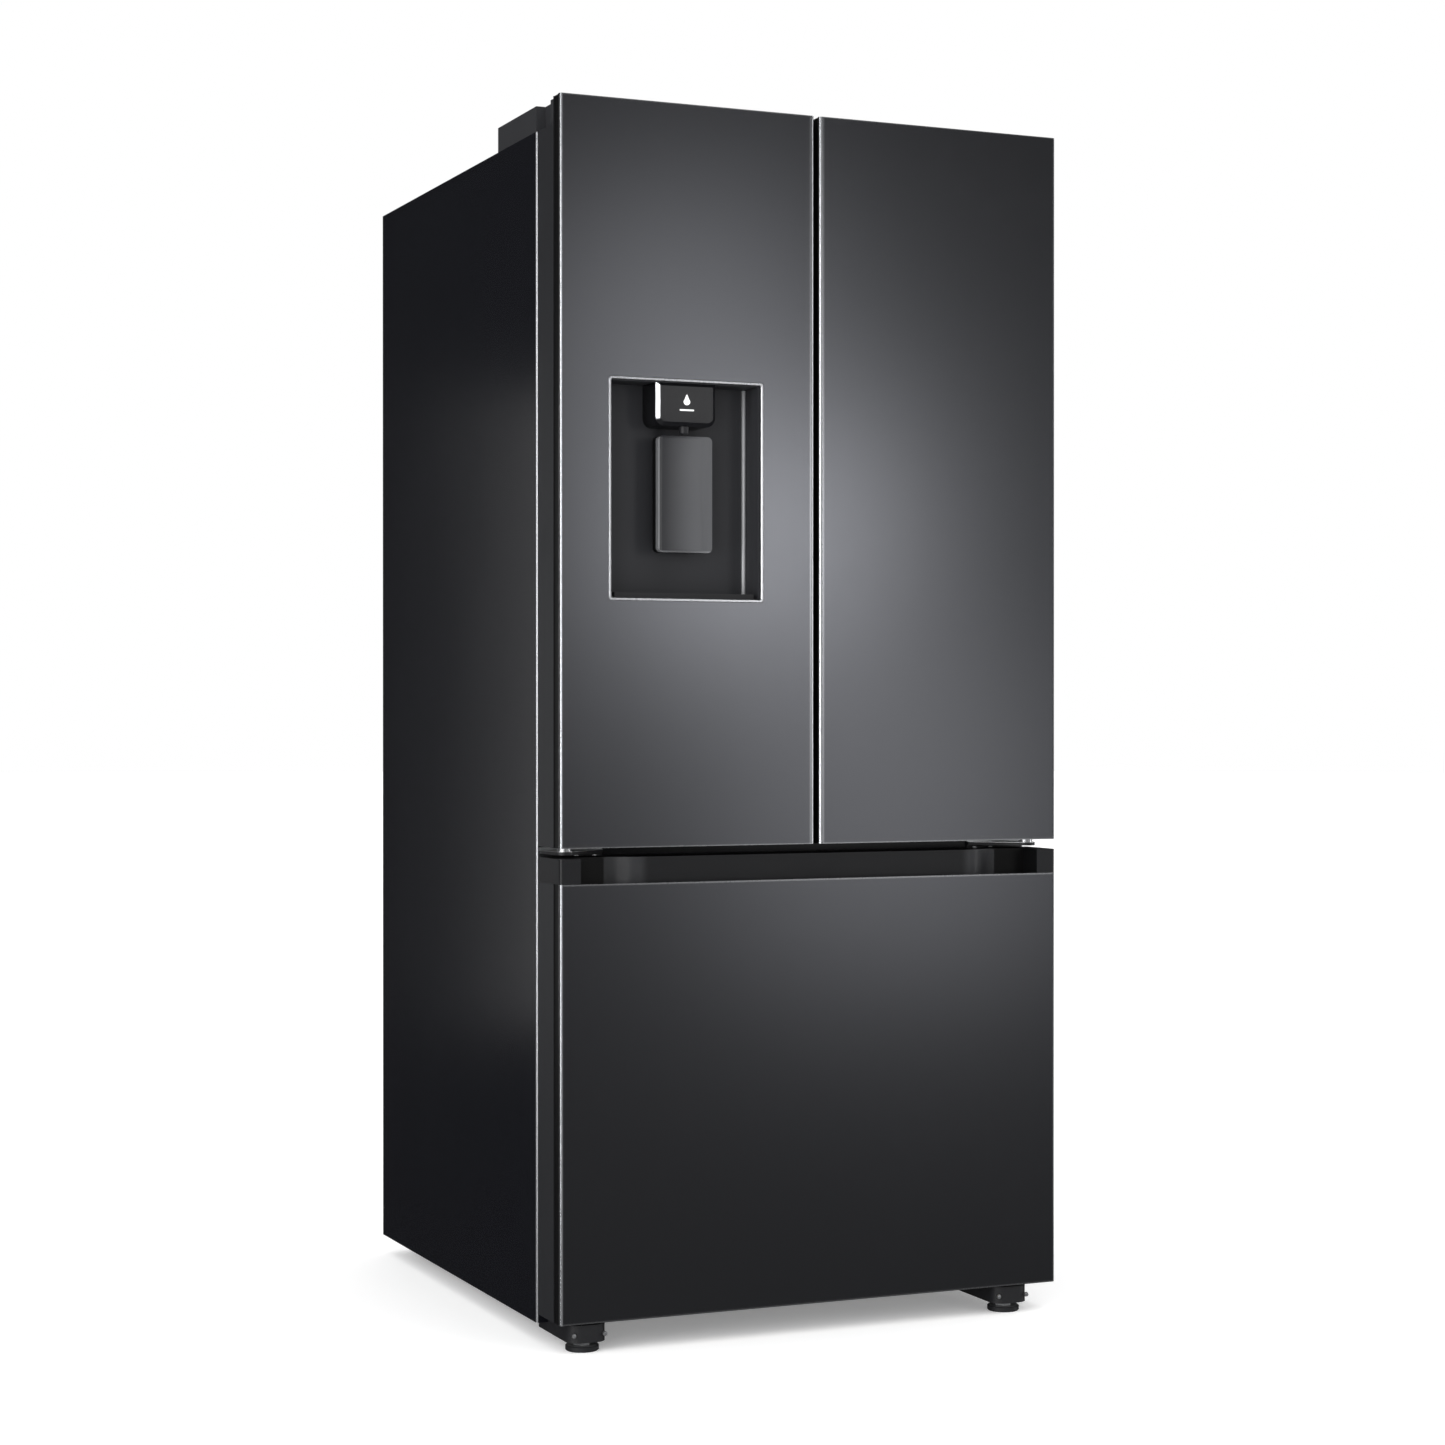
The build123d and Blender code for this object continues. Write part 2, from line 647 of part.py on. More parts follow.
def door_caps():
    """Top cap with the hinge recess, and bottom cap, each with the boss its pin turns in."""
    wall = 3
    floor = 4
    main = (RECESS_X[1] + wall, FILL_X[1] - wall)
    with BuildPart() as caps:
        block(FILL_X, FILL_T, (RECESS_FLOOR - floor, HEIGHT))
        recess = (FILL_X[0] - 1, RECESS_X[1])
        block(recess, (LIP_DEPTH, DOOR_BACK), (RECESS_FLOOR, HEIGHT + 1), Mode.SUBTRACT)
        under = (RECESS_FLOOR - floor - 1, HEIGHT - wall)
        block(main, grown(FILL_T, -wall), under, Mode.SUBTRACT)
        lip = (FILL_T[0] + wall, LIP_DEPTH - wall)
        block((FILL_X[0] + wall, main[0]), lip, under, Mode.SUBTRACT)
        post(-PIN_X, PIN_DEPTH, (FOAM_Z[1] + 2, RECESS_FLOOR - 1), BOSS_RADIUS)
        block(FILL_X, FILL_T, (DOOR_BOTTOM, DOOR_BOTTOM + floor))
        post(-PIN_X, PIN_DEPTH, (DOOR_BOTTOM + 1, FOAM_Z[0] - 2), BOSS_RADIUS)
        post(-PIN_X, PIN_DEPTH, (DOOR_BOTTOM - 1, FOAM_Z[0]), PIN_RADIUS + RUNNING, Mode.SUBTRACT)
        post(-PIN_X, PIN_DEPTH, (FOAM_Z[1], HEIGHT), PIN_RADIUS + RUNNING, Mode.SUBTRACT)
    return caps.part


def gasket(x, z):
    """Magnetic seal: a plain rectangular loop behind the door or drawer."""
    with BuildPart() as seal:
        block(x, (DOOR_BACK, GASKET_BACK), z)
        inside = (grown(x, -GASKET_WIDTH), grown(z, -GASKET_WIDTH))
        block(inside[0], (DOOR_BACK - 1, GASKET_BACK + 1), inside[1], Mode.SUBTRACT)
    return seal.part


def door_bin(z):
    """Open bin between the ridges of the left door."""
    x = (-RIDGE_OUTER + RIDGE_WIDTH + 1, -RIDGE_INNER - RIDGE_WIDTH - 1)
    return tray(x, (DOOR_BACK + 1, BIN_BACK), (z, z + BIN_HEIGHT), 2.5, 8)


def make_left_door():
    """Left door body with its opening for the dispenser and ears for the mullion bar."""
    around_x = grown(BEZEL_X, CLEAR)
    around_z = grown(BEZEL_Z, CLEAR)
    with BuildPart() as skin:
        add(front_skin(DOOR_X, DOOR_Z))
        with BuildSketch(Plane.XZ.offset(-back(-1))):
            with Locations(((BEZEL_X[0] + BEZEL_X[1]) / 2, (BEZEL_Z[0] + BEZEL_Z[1]) / 2)):
                hole = grown(BEZEL_X, 0.2)
                tall = grown(BEZEL_Z, 0.2)
                RectangleRounded(hole[1] - hole[0], tall[1] - tall[0], radius=5.2)
        extrude(amount=-4, mode=Mode.SUBTRACT)
    save(skin.part, "left_door_skin")

    with BuildPart() as foam:
        block(FILL_X, FILL_T, (FOAM_Z[0], around_z[0]))
        block(FILL_X, FILL_T, (around_z[1], FOAM_Z[1]))
        block((FILL_X[0], around_x[0]), FILL_T, BEZEL_Z)
        block((around_x[1], FILL_X[1]), FILL_T, BEZEL_Z)
        block(BEZEL_X, (TUB_BACK + 2 + CLEAR, FILL_T[1]), BEZEL_Z)
        ridge_cores()
    save(foam.part, "left_door_foam")

    pivot_x, pivot_t = MULLION_PIVOT
    with BuildPart() as liner:
        add(door_liner(LEFT_BINS.values()))
        for z in ((MULLION_Z[0] - 8, MULLION_Z[0] - 2), (MULLION_Z[1] + 2, MULLION_Z[1] + 8)):
            block((pivot_x - 8, pivot_x + 4.5), (DOOR_BACK - 1, pivot_t + 7), z)
            post(pivot_x, pivot_t, grown(z, 1), PADDLE_PIN + RUNNING, Mode.SUBTRACT)
    save(liner.part, "left_door_liner")

    save(door_caps(), "left_door_caps")
    save(gasket((-375, -12), (727, 1734)), "left_door_gasket")
    for name, z in LEFT_BINS.items():
        save(door_bin(z), name)


def make_right_door():
    """Right door body, the mirror image of a left one without the dispenser."""
    save(mirrored(front_skin(DOOR_X, DOOR_Z)), "right_door_skin")
    with BuildPart() as foam:
        block(FILL_X, FILL_T, FOAM_Z)
        ridge_cores()
    save(mirrored(foam.part), "right_door_foam")
    save(mirrored(door_liner(RIGHT_BINS.values())), "right_door_liner")
    save(mirrored(door_caps()), "right_door_caps")
    save(mirrored(gasket((-375, -12), (727, 1734))), "right_door_gasket")
    for name, z in RIGHT_BINS.items():
        save(mirrored(door_bin(z)), name)


def make_mullion_bar():
    """Flipper bar that seals the gap between the doors, with a pin at each end."""
    x, t = MULLION_PIVOT
    with BuildPart() as mullion_bar:
        block((x - 10, x + 10), (t - 6, t + 54), MULLION_Z)
        chamfer(mullion_bar.edges().filter_by(Axis.Z), length=2)
        post(x, t, grown(MULLION_Z, 8), PADDLE_PIN)
    save(mullion_bar.part, "mullion_bar")


# ---------------------------------------------------------------- dispenser


def make_dispenser():
    """Bezel, recess tub, spout cover, nozzle, drip tray and paddle."""
    centre = ((BEZEL_X[0] + BEZEL_X[1]) / 2, (BEZEL_Z[0] + BEZEL_Z[1]) / 2)
    size = (BEZEL_X[1] - BEZEL_X[0], BEZEL_Z[1] - BEZEL_Z[0])
    with BuildPart() as bezel:
        with BuildSketch(Plane.XZ.offset(-back(0))):
            with Locations(centre):
                RectangleRounded(*size, radius=BEZEL_CORNERS[0])
                inner = [length - 2 * BEZEL_FACE for length in size]
                RectangleRounded(*inner, radius=BEZEL_CORNERS[1], mode=Mode.SUBTRACT)
        extrude(amount=-BEZEL_DEPTH)
        chamfer(bezel.faces().sort_by(Axis.Y)[0].edges(), length=0.6)
    save(bezel.part, "dispenser_bezel")

    tub_x = grown(BEZEL_X, -2)
    tub_z = grown(BEZEL_Z, -2)
    lug = (-214, -198)
    with BuildPart() as tub:
        block(tub_x, (BEZEL_DEPTH + 0.2, TUB_BACK + 2), tub_z)
        with BuildSketch(Plane.XZ.offset(-back(0))):
            with Locations(centre):
                RectangleRounded(size[0] - 8, size[1] - 8, radius=8)
        extrude(amount=-TUB_BACK, mode=Mode.SUBTRACT)
        block(lug, (PADDLE_PIVOT_DEPTH - 6, TUB_BACK + 0.5), grown((PADDLE_PIVOT_Z, PADDLE_PIVOT_Z), 8))
        bar(grown(lug, 1), PADDLE_PIVOT_DEPTH, PADDLE_PIVOT_Z, PADDLE_PIN + RUNNING, Mode.SUBTRACT)
    save(tub.part, "dispenser_tub")

    with BuildPart() as spout_cover:
        block(SPOUT_X, (2, TUB_BACK - 0.2), SPOUT_Z)
        low = spout_cover.faces().sort_by(Axis.Z)[0]
        fillet(low.edges().filter_by(Axis.Y), radius=14)
        fillet(spout_cover.faces().sort_by(Axis.Y)[0].edges(), radius=2)
    save(spout_cover.part, "dispenser_spout_cover")

    with BuildPart() as nozzle:
        post((SPOUT_X[0] + SPOUT_X[1]) / 2, 13, (1306, SPOUT_Z[0]), 7)
        chamfer(nozzle.faces().sort_by(Axis.Z)[0].edges(), length=1.5)
        post((SPOUT_X[0] + SPOUT_X[1]) / 2, 13, (1305, 1313), 4, Mode.SUBTRACT)
    save(nozzle.part, "dispenser_nozzle")

    with BuildPart() as drip_tray:
        block(grown(tub_x, -10), (9, TUB_BACK - 4), (tub_z[0] + 2.2, tub_z[0] + 10))
        with BuildSketch(Plane.XY.offset(tub_z[0] + 6)):
            with Locations((centre[0], back(31))):
                with GridLocations(13, 1, 14, 1):
                    SlotOverall(32, 5, rotation=90)
        extrude(amount=6, mode=Mode.SUBTRACT)
    save(drip_tray.part, "dispenser_drip_tray")

    with BuildPart() as paddle:
        block(PADDLE_X, (PADDLE_FRONT, PADDLE_FRONT + PADDLE_DEPTH), PADDLE_Z)
        fillet(paddle.edges().filter_by(Axis.Y), radius=9)
        fillet(paddle.faces().sort_by(Axis.Y)[0].edges(), radius=3)
        offset(amount=-2.5, openings=paddle.faces().sort_by(Axis.Y)[-1])
        for ear in ((lug[0] - 8, lug[0] - 2), (lug[1] + 2, lug[1] + 8)):
            block(ear, (PADDLE_FRONT + 2, PADDLE_PIVOT_DEPTH + 6), (PADDLE_PIVOT_Z - 6, PADDLE_PIVOT_Z + 6))
        bar(grown(lug, 8), PADDLE_PIVOT_DEPTH, PADDLE_PIVOT_Z, PADDLE_PIN)
    save(paddle.part, "dispenser_paddle")


# ---------------------------------------------------------------- freezer drawer


DRAWER_X = (-SIDE, SIDE)
BODY_Z = (DRAWER_BOTTOM, LIP_TOP)
TROUGH_FLOOR = 645
POCKET_END = SIDE - 31.5


def pocket_outline(front):
    """The finger pocket seen from above: deep at its ends, shallower along its middle."""
    end, start, stop = POCKET_END, 314, 268
    deep, shallow = back(42), back(28)
    with BuildLine() as outline:
        Line((-end, front), (-end, deep))
        Line((-end, deep), (-start, deep))
        Spline((-start, deep), (-stop, shallow), tangents=((1, 0), (1, 0)))
        Line((-stop, shallow), (stop, shallow))
        Spline((stop, shallow), (start, deep), tangents=((1, 0), (1, 0)))
        Line((start, deep), (end, deep))
        Line((end, deep), (end, front))
        Line((end, front), (-end, front))
    make_face(outline.edges())


def make_drawer():
    """Drawer front: steel skin, foam, moulded body, handle channel and seal."""
    with BuildPart() as skin:
        add(front_skin(DRAWER_X, BODY_Z))
        block((-POCKET_END, POCKET_END), (0.5, 7.5), (LIP_TOP - SHEET, LIP_TOP))
    save(skin.part, "drawer_skin")

    with BuildPart() as foam:
        block(grown(DRAWER_X, -DOOR_WALL - 0.2), FILL_T, (DRAWER_BOTTOM + 4, TROUGH_FLOOR - 6))
    save(foam.part, "drawer_foam")

    with BuildPart() as liner:
        block(DRAWER_X, (SKIN_RETURN + 0.3, DOOR_BACK), BODY_Z)
        side_band(DRAWER_X, grown(BODY_Z, 1))
        hollow = (DRAWER_BOTTOM + DOOR_WALL, LIP_TOP + 1)
        block(grown(DRAWER_X, -DOOR_WALL), (SKIN_RETURN, DOOR_BACK - DOOR_WALL), hollow, Mode.SUBTRACT)
    save(liner.part, "drawer_liner")

    with BuildPart() as handle:
        block(DRAWER_X, (0, DOOR_BACK), (LIP_TOP + 0.3, DRAWER_TOP))
        front = handle.faces().sort_by(Axis.Y)[0]
        fillet(front.edges().filter_by(Axis.Z), radius=SKIN_CORNER)
        inside = grown(DRAWER_X, -DOOR_WALL - 0.4)
        under_lip = LIP_TOP - SHEET - 0.3
        block(inside, (2, FILL_T[1]), (TROUGH_FLOOR - 5, under_lip))
        block(inside, (8, FILL_T[1]), (under_lip, LIP_TOP + 0.3))
        with BuildSketch(Plane.XY.offset(LIP_TOP + 0.3)):
            pocket_outline(back(-1))
        extrude(amount=DRAWER_TOP - LIP_TOP + 1, mode=Mode.SUBTRACT)
        with BuildSketch(Plane.XY.offset(TROUGH_FLOOR)):
            pocket_outline(back(8))
        extrude(amount=LIP_TOP + 1 - TROUGH_FLOOR, mode=Mode.SUBTRACT)
    save(handle.part, "drawer_handle")

    save(gasket((-388, 388), (52, 688)), "drawer_gasket")


make_cabinet_shell()
make_insulation_foam()
make_back_panel()
make_fridge_liner()
make_freezer_liner()
make_center_rail()
make_base_frame()
make_leg_brackets()
for foot_name, foot_x in FOOT_CENTRES.items():
    make_foot(foot_name, foot_x)
make_roller("rear_roller_left", -ROLLER_X)
make_roller("rear_roller_right", ROLLER_X)
make_top_hinges()
make_top_hinge_covers()
make_middle_hinges()
make_hinge_screws()
make_compressor()
make_condenser_coil()
make_condenser_fan()
make_compressor_cover()
make_evaporator()
make_freezer_duct_cover()
make_fridge_duct_cover()
for shelf_name, shelf_z in SHELF_HEIGHTS.items():
    make_shelf(shelf_name, shelf_z)
make_crisper("crisper_left", (-346, -5))
make_crisper("crisper_right", (5, 346))
make_slides()
make_lower_basket()
make_upper_basket()
make_left_door()
make_right_door()
make_mullion_bar()
make_dispenser()
make_drawer()
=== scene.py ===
"""Looks of a french door refrigerator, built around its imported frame."""

import logging
import math
from dataclasses import dataclass, field, replace
from enum import Enum

import bmesh
import bpy
from bmesh.types import BMEdge, BMesh, BMVert
from mathutils import Matrix, Vector


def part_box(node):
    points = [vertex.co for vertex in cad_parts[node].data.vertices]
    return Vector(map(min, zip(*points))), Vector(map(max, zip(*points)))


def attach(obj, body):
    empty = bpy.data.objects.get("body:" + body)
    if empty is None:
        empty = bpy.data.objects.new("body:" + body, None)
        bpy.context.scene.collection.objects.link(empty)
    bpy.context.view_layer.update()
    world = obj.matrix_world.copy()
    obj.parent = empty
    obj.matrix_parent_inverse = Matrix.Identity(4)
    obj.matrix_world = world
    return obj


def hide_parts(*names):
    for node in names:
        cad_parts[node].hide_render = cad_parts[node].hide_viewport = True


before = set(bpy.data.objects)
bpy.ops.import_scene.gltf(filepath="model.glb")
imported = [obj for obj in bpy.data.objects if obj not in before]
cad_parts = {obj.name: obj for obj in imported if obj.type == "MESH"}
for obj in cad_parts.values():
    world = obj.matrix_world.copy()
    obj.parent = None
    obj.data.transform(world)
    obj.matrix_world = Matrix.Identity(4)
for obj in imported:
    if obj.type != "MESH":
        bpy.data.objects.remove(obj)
log = logging.getLogger("refrigerator")

SMOOTH_ANGLE = math.radians(32)
SHARP_ANGLE = math.radians(40)
Point = tuple[float, float, float]
Colour = tuple[float, float, float]
Socket = bpy.types.NodeSocket
Inputs = dict[int | str, object]
Names = tuple[str, ...]

# Lengths in metres: what counts as the same place, and how far a zone runs past its piece.
NEAR = 0.0001
PAST = 0.01
FAR_PAST = 0.1
# Half the thickness and the height of the bright strips on bins and crispers.
STRIP_HALF = 0.0012
STRIP_HEIGHT = 0.009

# Squeezes along Z that draw a grain out.
BRUSH_SQUEEZE = 0.006
WIPE_SQUEEZE = 0.3
# Second noises of a grain, as shares of its pitch.
BROAD_BRUSH = 0.09
FINE_MOULD = 1.7
# Cells in a metre of the slow drift in shade.
MOULD_CLOUD = 14.0
PAINT_CLOUD = 5.0

# How wiping marks, dust and the clear coat change a surface.
MARK_WEIGHT = 0.6
DUST_COLOUR = (0.42, 0.40, 0.37, 1)
DUST_ROUGHNESS = 0.8
COAT_ROUGHNESS = 0.06


class Grain(Enum):
    """How a surface is broken up when seen from close by."""

    BRUSHED = "brushed"
    MOULDED = "moulded"
    PAINTED = "painted"
    POLISHED = "polished"


class Axis(Enum):
    """The three directions of the frame, with their place in a vector."""

    X = 0
    Y = 1
    Z = 2


class Side(Enum):
    """The two upper doors, as seen from the front."""

    LEFT = "left"
    RIGHT = "right"


# ------------------------------------------------------------------ finishes


@dataclass(frozen=True)
class Finish:
    """A surface finish: its colours, its gloss and the grain that breaks it up.

    Attributes:
        name: The material's name.
        slot: The record's material slot; not used.
        colour: Main colour, linear.
        drift: Second colour, which the main one drifts to over the surface.
        roughness: Mean roughness.
        swing: How far the roughness moves with the grain and with handling.
        metallic: 1 for bare metal, 0 for anything else.
        specular: Specular level of a surface that isn't metal.
        coat: Weight of a clear coat.
        grain: Kind of grain.
        pitch: Grain cells in a metre.
        relief: Height of the grain in metres.
        lift: Height of the whole surface in metres, for pressed beads.
        dust: How much dust lies on faces that look up.
        alpha: Below 1 for thin see-through plastic.
        glow: Emission strength, for a lamp's lens.
    """

    name: str
    slot: str
    colour: Colour
    drift: Colour
    roughness: float
    swing: float = 0.06
    metallic: float = 0.0
    specular: float = 0.5
    coat: float = 0.0
    grain: Grain = Grain.MOULDED
    pitch: float = 900.0
    relief: float = 0.00004
    lift: float = 0.0
    dust: float = 0.0
    alpha: float = 1.0
    glow: float = 0.0


@dataclass(frozen=True)
class Zone:
    """A slab of the frame in which a second finish shows.

    Attributes:
        axis: Direction across the slab.
        low: Where it starts, in metres.
        high: Where it ends, in metres.
        soft: Half width of the change at both faces, in metres.
        outside: True to take what lies outside the slab instead.
    """

    axis: Axis
    low: float
    high: float
    soft: float = 0.0002
    outside: bool = False


@dataclass(frozen=True)
class Layer:
    """A finish that lies over another one where all its zones meet."""

    finish: Finish
    zones: tuple[Zone, ...]


@dataclass(frozen=True)
class ZonedFinish:
    """A finish with layers of others over parts of it."""

    name: str
    base: Finish
    layers: tuple[Layer, ...]


BLACK_STEEL = Finish("black_stainless", "black_steel", (0.104, 0.1063, 0.1155),
    (0.111, 0.1133, 0.1225), 0.245, swing=0.010, metallic=1.0, grain=Grain.BRUSHED, pitch=2600.0,
    relief=0.0000008)
# Painted shade: a darker copy of the steel for the right-hand bends, which face away from the
# lamps.
SHADED_EDGE = replace(BLACK_STEEL, name="shaded_edge", colour=(0.045, 0.046, 0.05),
    drift=(0.052, 0.053, 0.057), roughness=0.34, swing=0.02)
# Painted highlight: a much lighter copy of the steel for the bends by the door gap, where the
# rounded edges catch the light.
EDGE_HIGHLIGHT = replace(BLACK_STEEL, name="edge_painted_highlight", colour=(0.42, 0.428, 0.445),
    drift=(0.44, 0.448, 0.465), roughness=0.27, swing=0.01, relief=0.0000004)
# Painted highlight: a lighter copy for the outer left bends and the spout's chamfer.
BEND_HIGHLIGHT = replace(EDGE_HIGHLIGHT, name="bend_painted_highlight", colour=(0.32, 0.326, 0.34),
    drift=(0.335, 0.341, 0.355))
# Painted highlight: a lighter copy for the thin bends along the top and bottom of each steel.
RIM_HIGHLIGHT = replace(EDGE_HIGHLIGHT, name="rim_painted_highlight", colour=(0.26, 0.264, 0.275),
    drift=(0.30, 0.304, 0.315), swing=0.03, relief=0.000002)
SIDE_PAINT = Finish("side_paint_black", "side_paint", (0.0034, 0.0036, 0.0052),
    (0.0046, 0.0049, 0.0066), 0.20, swing=0.02, specular=0.14, grain=Grain.PAINTED, pitch=520.0,
    relief=0.000012, dust=0.012)
# Painted highlight: a pale metal strip for the shell's front edges, where the rounded edge catches
# the light.
FRONT_EDGE_HIGHLIGHT = Finish("front_edge_painted_highlight", "side_paint", (0.34, 0.345, 0.36), (0.40, 0.405, 0.42),
    0.34, metallic=1.0, grain=Grain.PAINTED, pitch=520.0, relief=0.00001)
DOOR_BODY = Finish("door_body_grey", "door_body", (0.014, 0.0145, 0.0165), (0.018, 0.0185, 0.0205),
    0.42, specular=0.3, pitch=1300.0, relief=0.00003, dust=0.03)
EDGE_BAND = Finish("edge_band_black", "door_body", (0.0012, 0.0012, 0.0015),
    (0.002, 0.002, 0.0024), 0.45, specular=0.1, pitch=1300.0, relief=0.00001)
INNER_WHITE = Finish("inner_liner_white", "liner_white", (0.78, 0.79, 0.80), (0.82, 0.83, 0.835),
    0.28, specular=0.45, grain=Grain.PAINTED, pitch=260.0, relief=0.00002)
CAP_PLASTIC = Finish("cap_plastic_black", "black_plastic", (0.010, 0.0102, 0.0115),
    (0.014, 0.0142, 0.016), 0.44, specular=0.3, pitch=1500.0, dust=0.03)
COVER_PLASTIC = Finish("cover_plastic", "black_plastic", (0.020, 0.0205, 0.023),
    (0.026, 0.0265, 0.029), 0.48, specular=0.3, pitch=1100.0, relief=0.00005, dust=0.04)
HANDLE_PLASTIC = Finish("handle_plastic", "black_plastic", (0.0050, 0.0052, 0.0064),
    (0.0068, 0.0070, 0.0082), 0.36, specular=0.30, pitch=1500.0, relief=0.00001, dust=0.01)
# Painted highlight on the two curves of the handle pocket.
HANDLE_CURVE_HIGHLIGHT = Finish("handle_curve_painted_highlight", "black_plastic", (0.024, 0.0245, 0.0268),
    (0.028, 0.0285, 0.0308), 0.36, specular=0.40, pitch=1500.0, relief=0.00001)
# Painted shade in the deep ends of the handle pocket.
HANDLE_DEEP_SHADE = Finish("handle_deep_painted_shade", "black_plastic", (0.0008, 0.0008, 0.0010),
    (0.0012, 0.0012, 0.0014), 0.55, specular=0.06, pitch=1500.0, relief=0.00001)
GLOSS_BLACK = Finish("gloss_black", "gloss_black", (0.0045, 0.0046, 0.0056),
    (0.006, 0.0061, 0.0072), 0.24, swing=0.03, specular=0.22, coat=0.1, grain=Grain.POLISHED,
    pitch=40.0, relief=0.0)
TUB_PLASTIC = Finish("dispenser_tub_plastic", "black_plastic", (0.024, 0.0245, 0.0275),
    (0.028, 0.0285, 0.0315), 0.42, specular=0.18, pitch=1500.0, relief=0.00001)
# Painted highlight: a pale finish for the bead in the recess's rear corners, where the corners
# catch the light.
CORNER_HIGHLIGHT_BEAD = Finish("corner_bead_painted_highlight", "bright_trim", (0.44, 0.447, 0.46), (0.50, 0.507, 0.52),
    0.35, metallic=0.4, pitch=1200.0, relief=0.00001)
PADDLE_GREY = Finish("paddle_grey", "paddle_plastic", (0.019, 0.0195, 0.0220),
    (0.023, 0.0235, 0.0260), 0.42, specular=0.25, pitch=1400.0, relief=0.00001)
# Painted light: a lighter copy for the right half of the paddle's hollow face.
PADDLE_LIT_HALF = replace(PADDLE_GREY, name="paddle_lit_half_painted_light", colour=(0.064, 0.0655, 0.070),
    drift=(0.072, 0.0735, 0.078))
# Painted shade on the paddle's side walls and back.
PADDLE_WALL_SHADE = Finish("paddle_wall_painted_shade", "paddle_plastic", (0.0012, 0.0012, 0.0014),
    (0.002, 0.002, 0.0022), 0.5, specular=0.08, pitch=1400.0, relief=0.00001)
# Painted highlight along the paddle's left rim and its foot.
PADDLE_RIM_HIGHLIGHT = Finish("paddle_rim_painted_highlight", "paddle_plastic", (0.12, 0.122, 0.128),
    (0.14, 0.142, 0.148), 0.34, specular=0.4, pitch=1400.0, relief=0.00001)
BRIGHT_TRIM = Finish("bright_trim", "bright_trim", (0.36, 0.365, 0.38), (0.42, 0.425, 0.44), 0.27,
    swing=0.04, metallic=1.0, grain=Grain.BRUSHED, pitch=2000.0, relief=0.000002)
PRINT_WHITE = Finish("print_white", "bright_trim", (0.80, 0.80, 0.80), (0.86, 0.86, 0.86), 0.4,
    grain=Grain.PAINTED, relief=0.000005)
HINGE_STEEL = Finish("hinge_steel_dark", "hinge_steel", (0.016, 0.0165, 0.018),
    (0.022, 0.0225, 0.024), 0.46, metallic=0.3, grain=Grain.PAINTED, pitch=600.0, relief=0.00001)
ZINC = Finish("zinc_plate", "zinc", (0.58, 0.59, 0.61), (0.68, 0.69, 0.70), 0.32, metallic=1.0,
    grain=Grain.PAINTED, pitch=90.0, relief=0.000006)
BACK_STEEL = Finish("back_steel", "back_steel", (0.30, 0.305, 0.31), (0.36, 0.365, 0.37), 0.44,
    metallic=0.25, grain=Grain.PAINTED, pitch=130.0, relief=0.00003)
BEAD_STEEL = replace(BACK_STEEL, name="back_bead_steel", colour=(0.31, 0.315, 0.32),
    drift=(0.37, 0.375, 0.38), roughness=0.42, lift=0.0032)
FRAME_STEEL = Finish("frame_steel", "back_steel", (0.055, 0.056, 0.06), (0.075, 0.076, 0.08), 0.45,
    metallic=0.3, grain=Grain.PAINTED, pitch=200.0, relief=0.00003, dust=0.15)
SEAL_GREY = Finish("seal_grey", "seal_rubber", (0.050, 0.051, 0.054), (0.062, 0.063, 0.066), 0.55,
    specular=0.35, pitch=700.0, relief=0.00003)
CLEAR_PLASTIC = Finish("clear_plastic", "clear_plastic", (0.74, 0.80, 0.84), (0.80, 0.86, 0.90),
    0.12, swing=0.05, specular=0.6, grain=Grain.POLISHED, pitch=60.0, relief=0.0, alpha=0.46)
SHELF_GLASS = Finish("shelf_glass", "shelf_glass", (0.84, 0.95, 0.92), (0.88, 0.97, 0.95), 0.04,
    swing=0.02, grain=Grain.POLISHED, pitch=30.0, relief=0.0, alpha=0.34)
COMPRESSOR_BLACK = Finish("compressor_paint", "compressor_black", (0.012, 0.012, 0.013),
    (0.02, 0.02, 0.021), 0.36, grain=Grain.PAINTED, pitch=260.0, relief=0.00006, dust=0.35)
COIL_BLACK = Finish("coil_paint", "condenser_steel", (0.02, 0.02, 0.021), (0.032, 0.032, 0.034),
    0.5, grain=Grain.PAINTED, pitch=400.0, relief=0.00003, dust=0.4)
FIN_METAL = Finish("fin_metal", "fin_aluminium", (0.66, 0.67, 0.69), (0.74, 0.75, 0.76), 0.34,
    metallic=1.0, grain=Grain.BRUSHED, pitch=1500.0, relief=0.000005)
ROLLER_PLASTIC = Finish("roller_plastic", "roller_plastic", (0.035, 0.035, 0.038),
    (0.05, 0.05, 0.054), 0.45, relief=0.00005)
FOAM_CREAM = Finish("foam_cream", "foam", (0.74, 0.64, 0.38), (0.82, 0.73, 0.47), 0.85,
    specular=0.2, pitch=420.0, relief=0.0003)
LAMP_LENS = Finish("lamp_lens", "liner_white", (0.90, 0.92, 0.95), (0.94, 0.95, 0.97), 0.3,
    pitch=500.0, glow=1.4)
FLOOR_PALE = Finish("floor_pale", "liner_white", (0.955, 0.955, 0.956), (0.965, 0.965, 0.966), 0.6,
    specular=0.1, grain=Grain.PAINTED, pitch=20.0, relief=0.0, glow=0.22)


# ------------------------------------------------------------------ shader effects


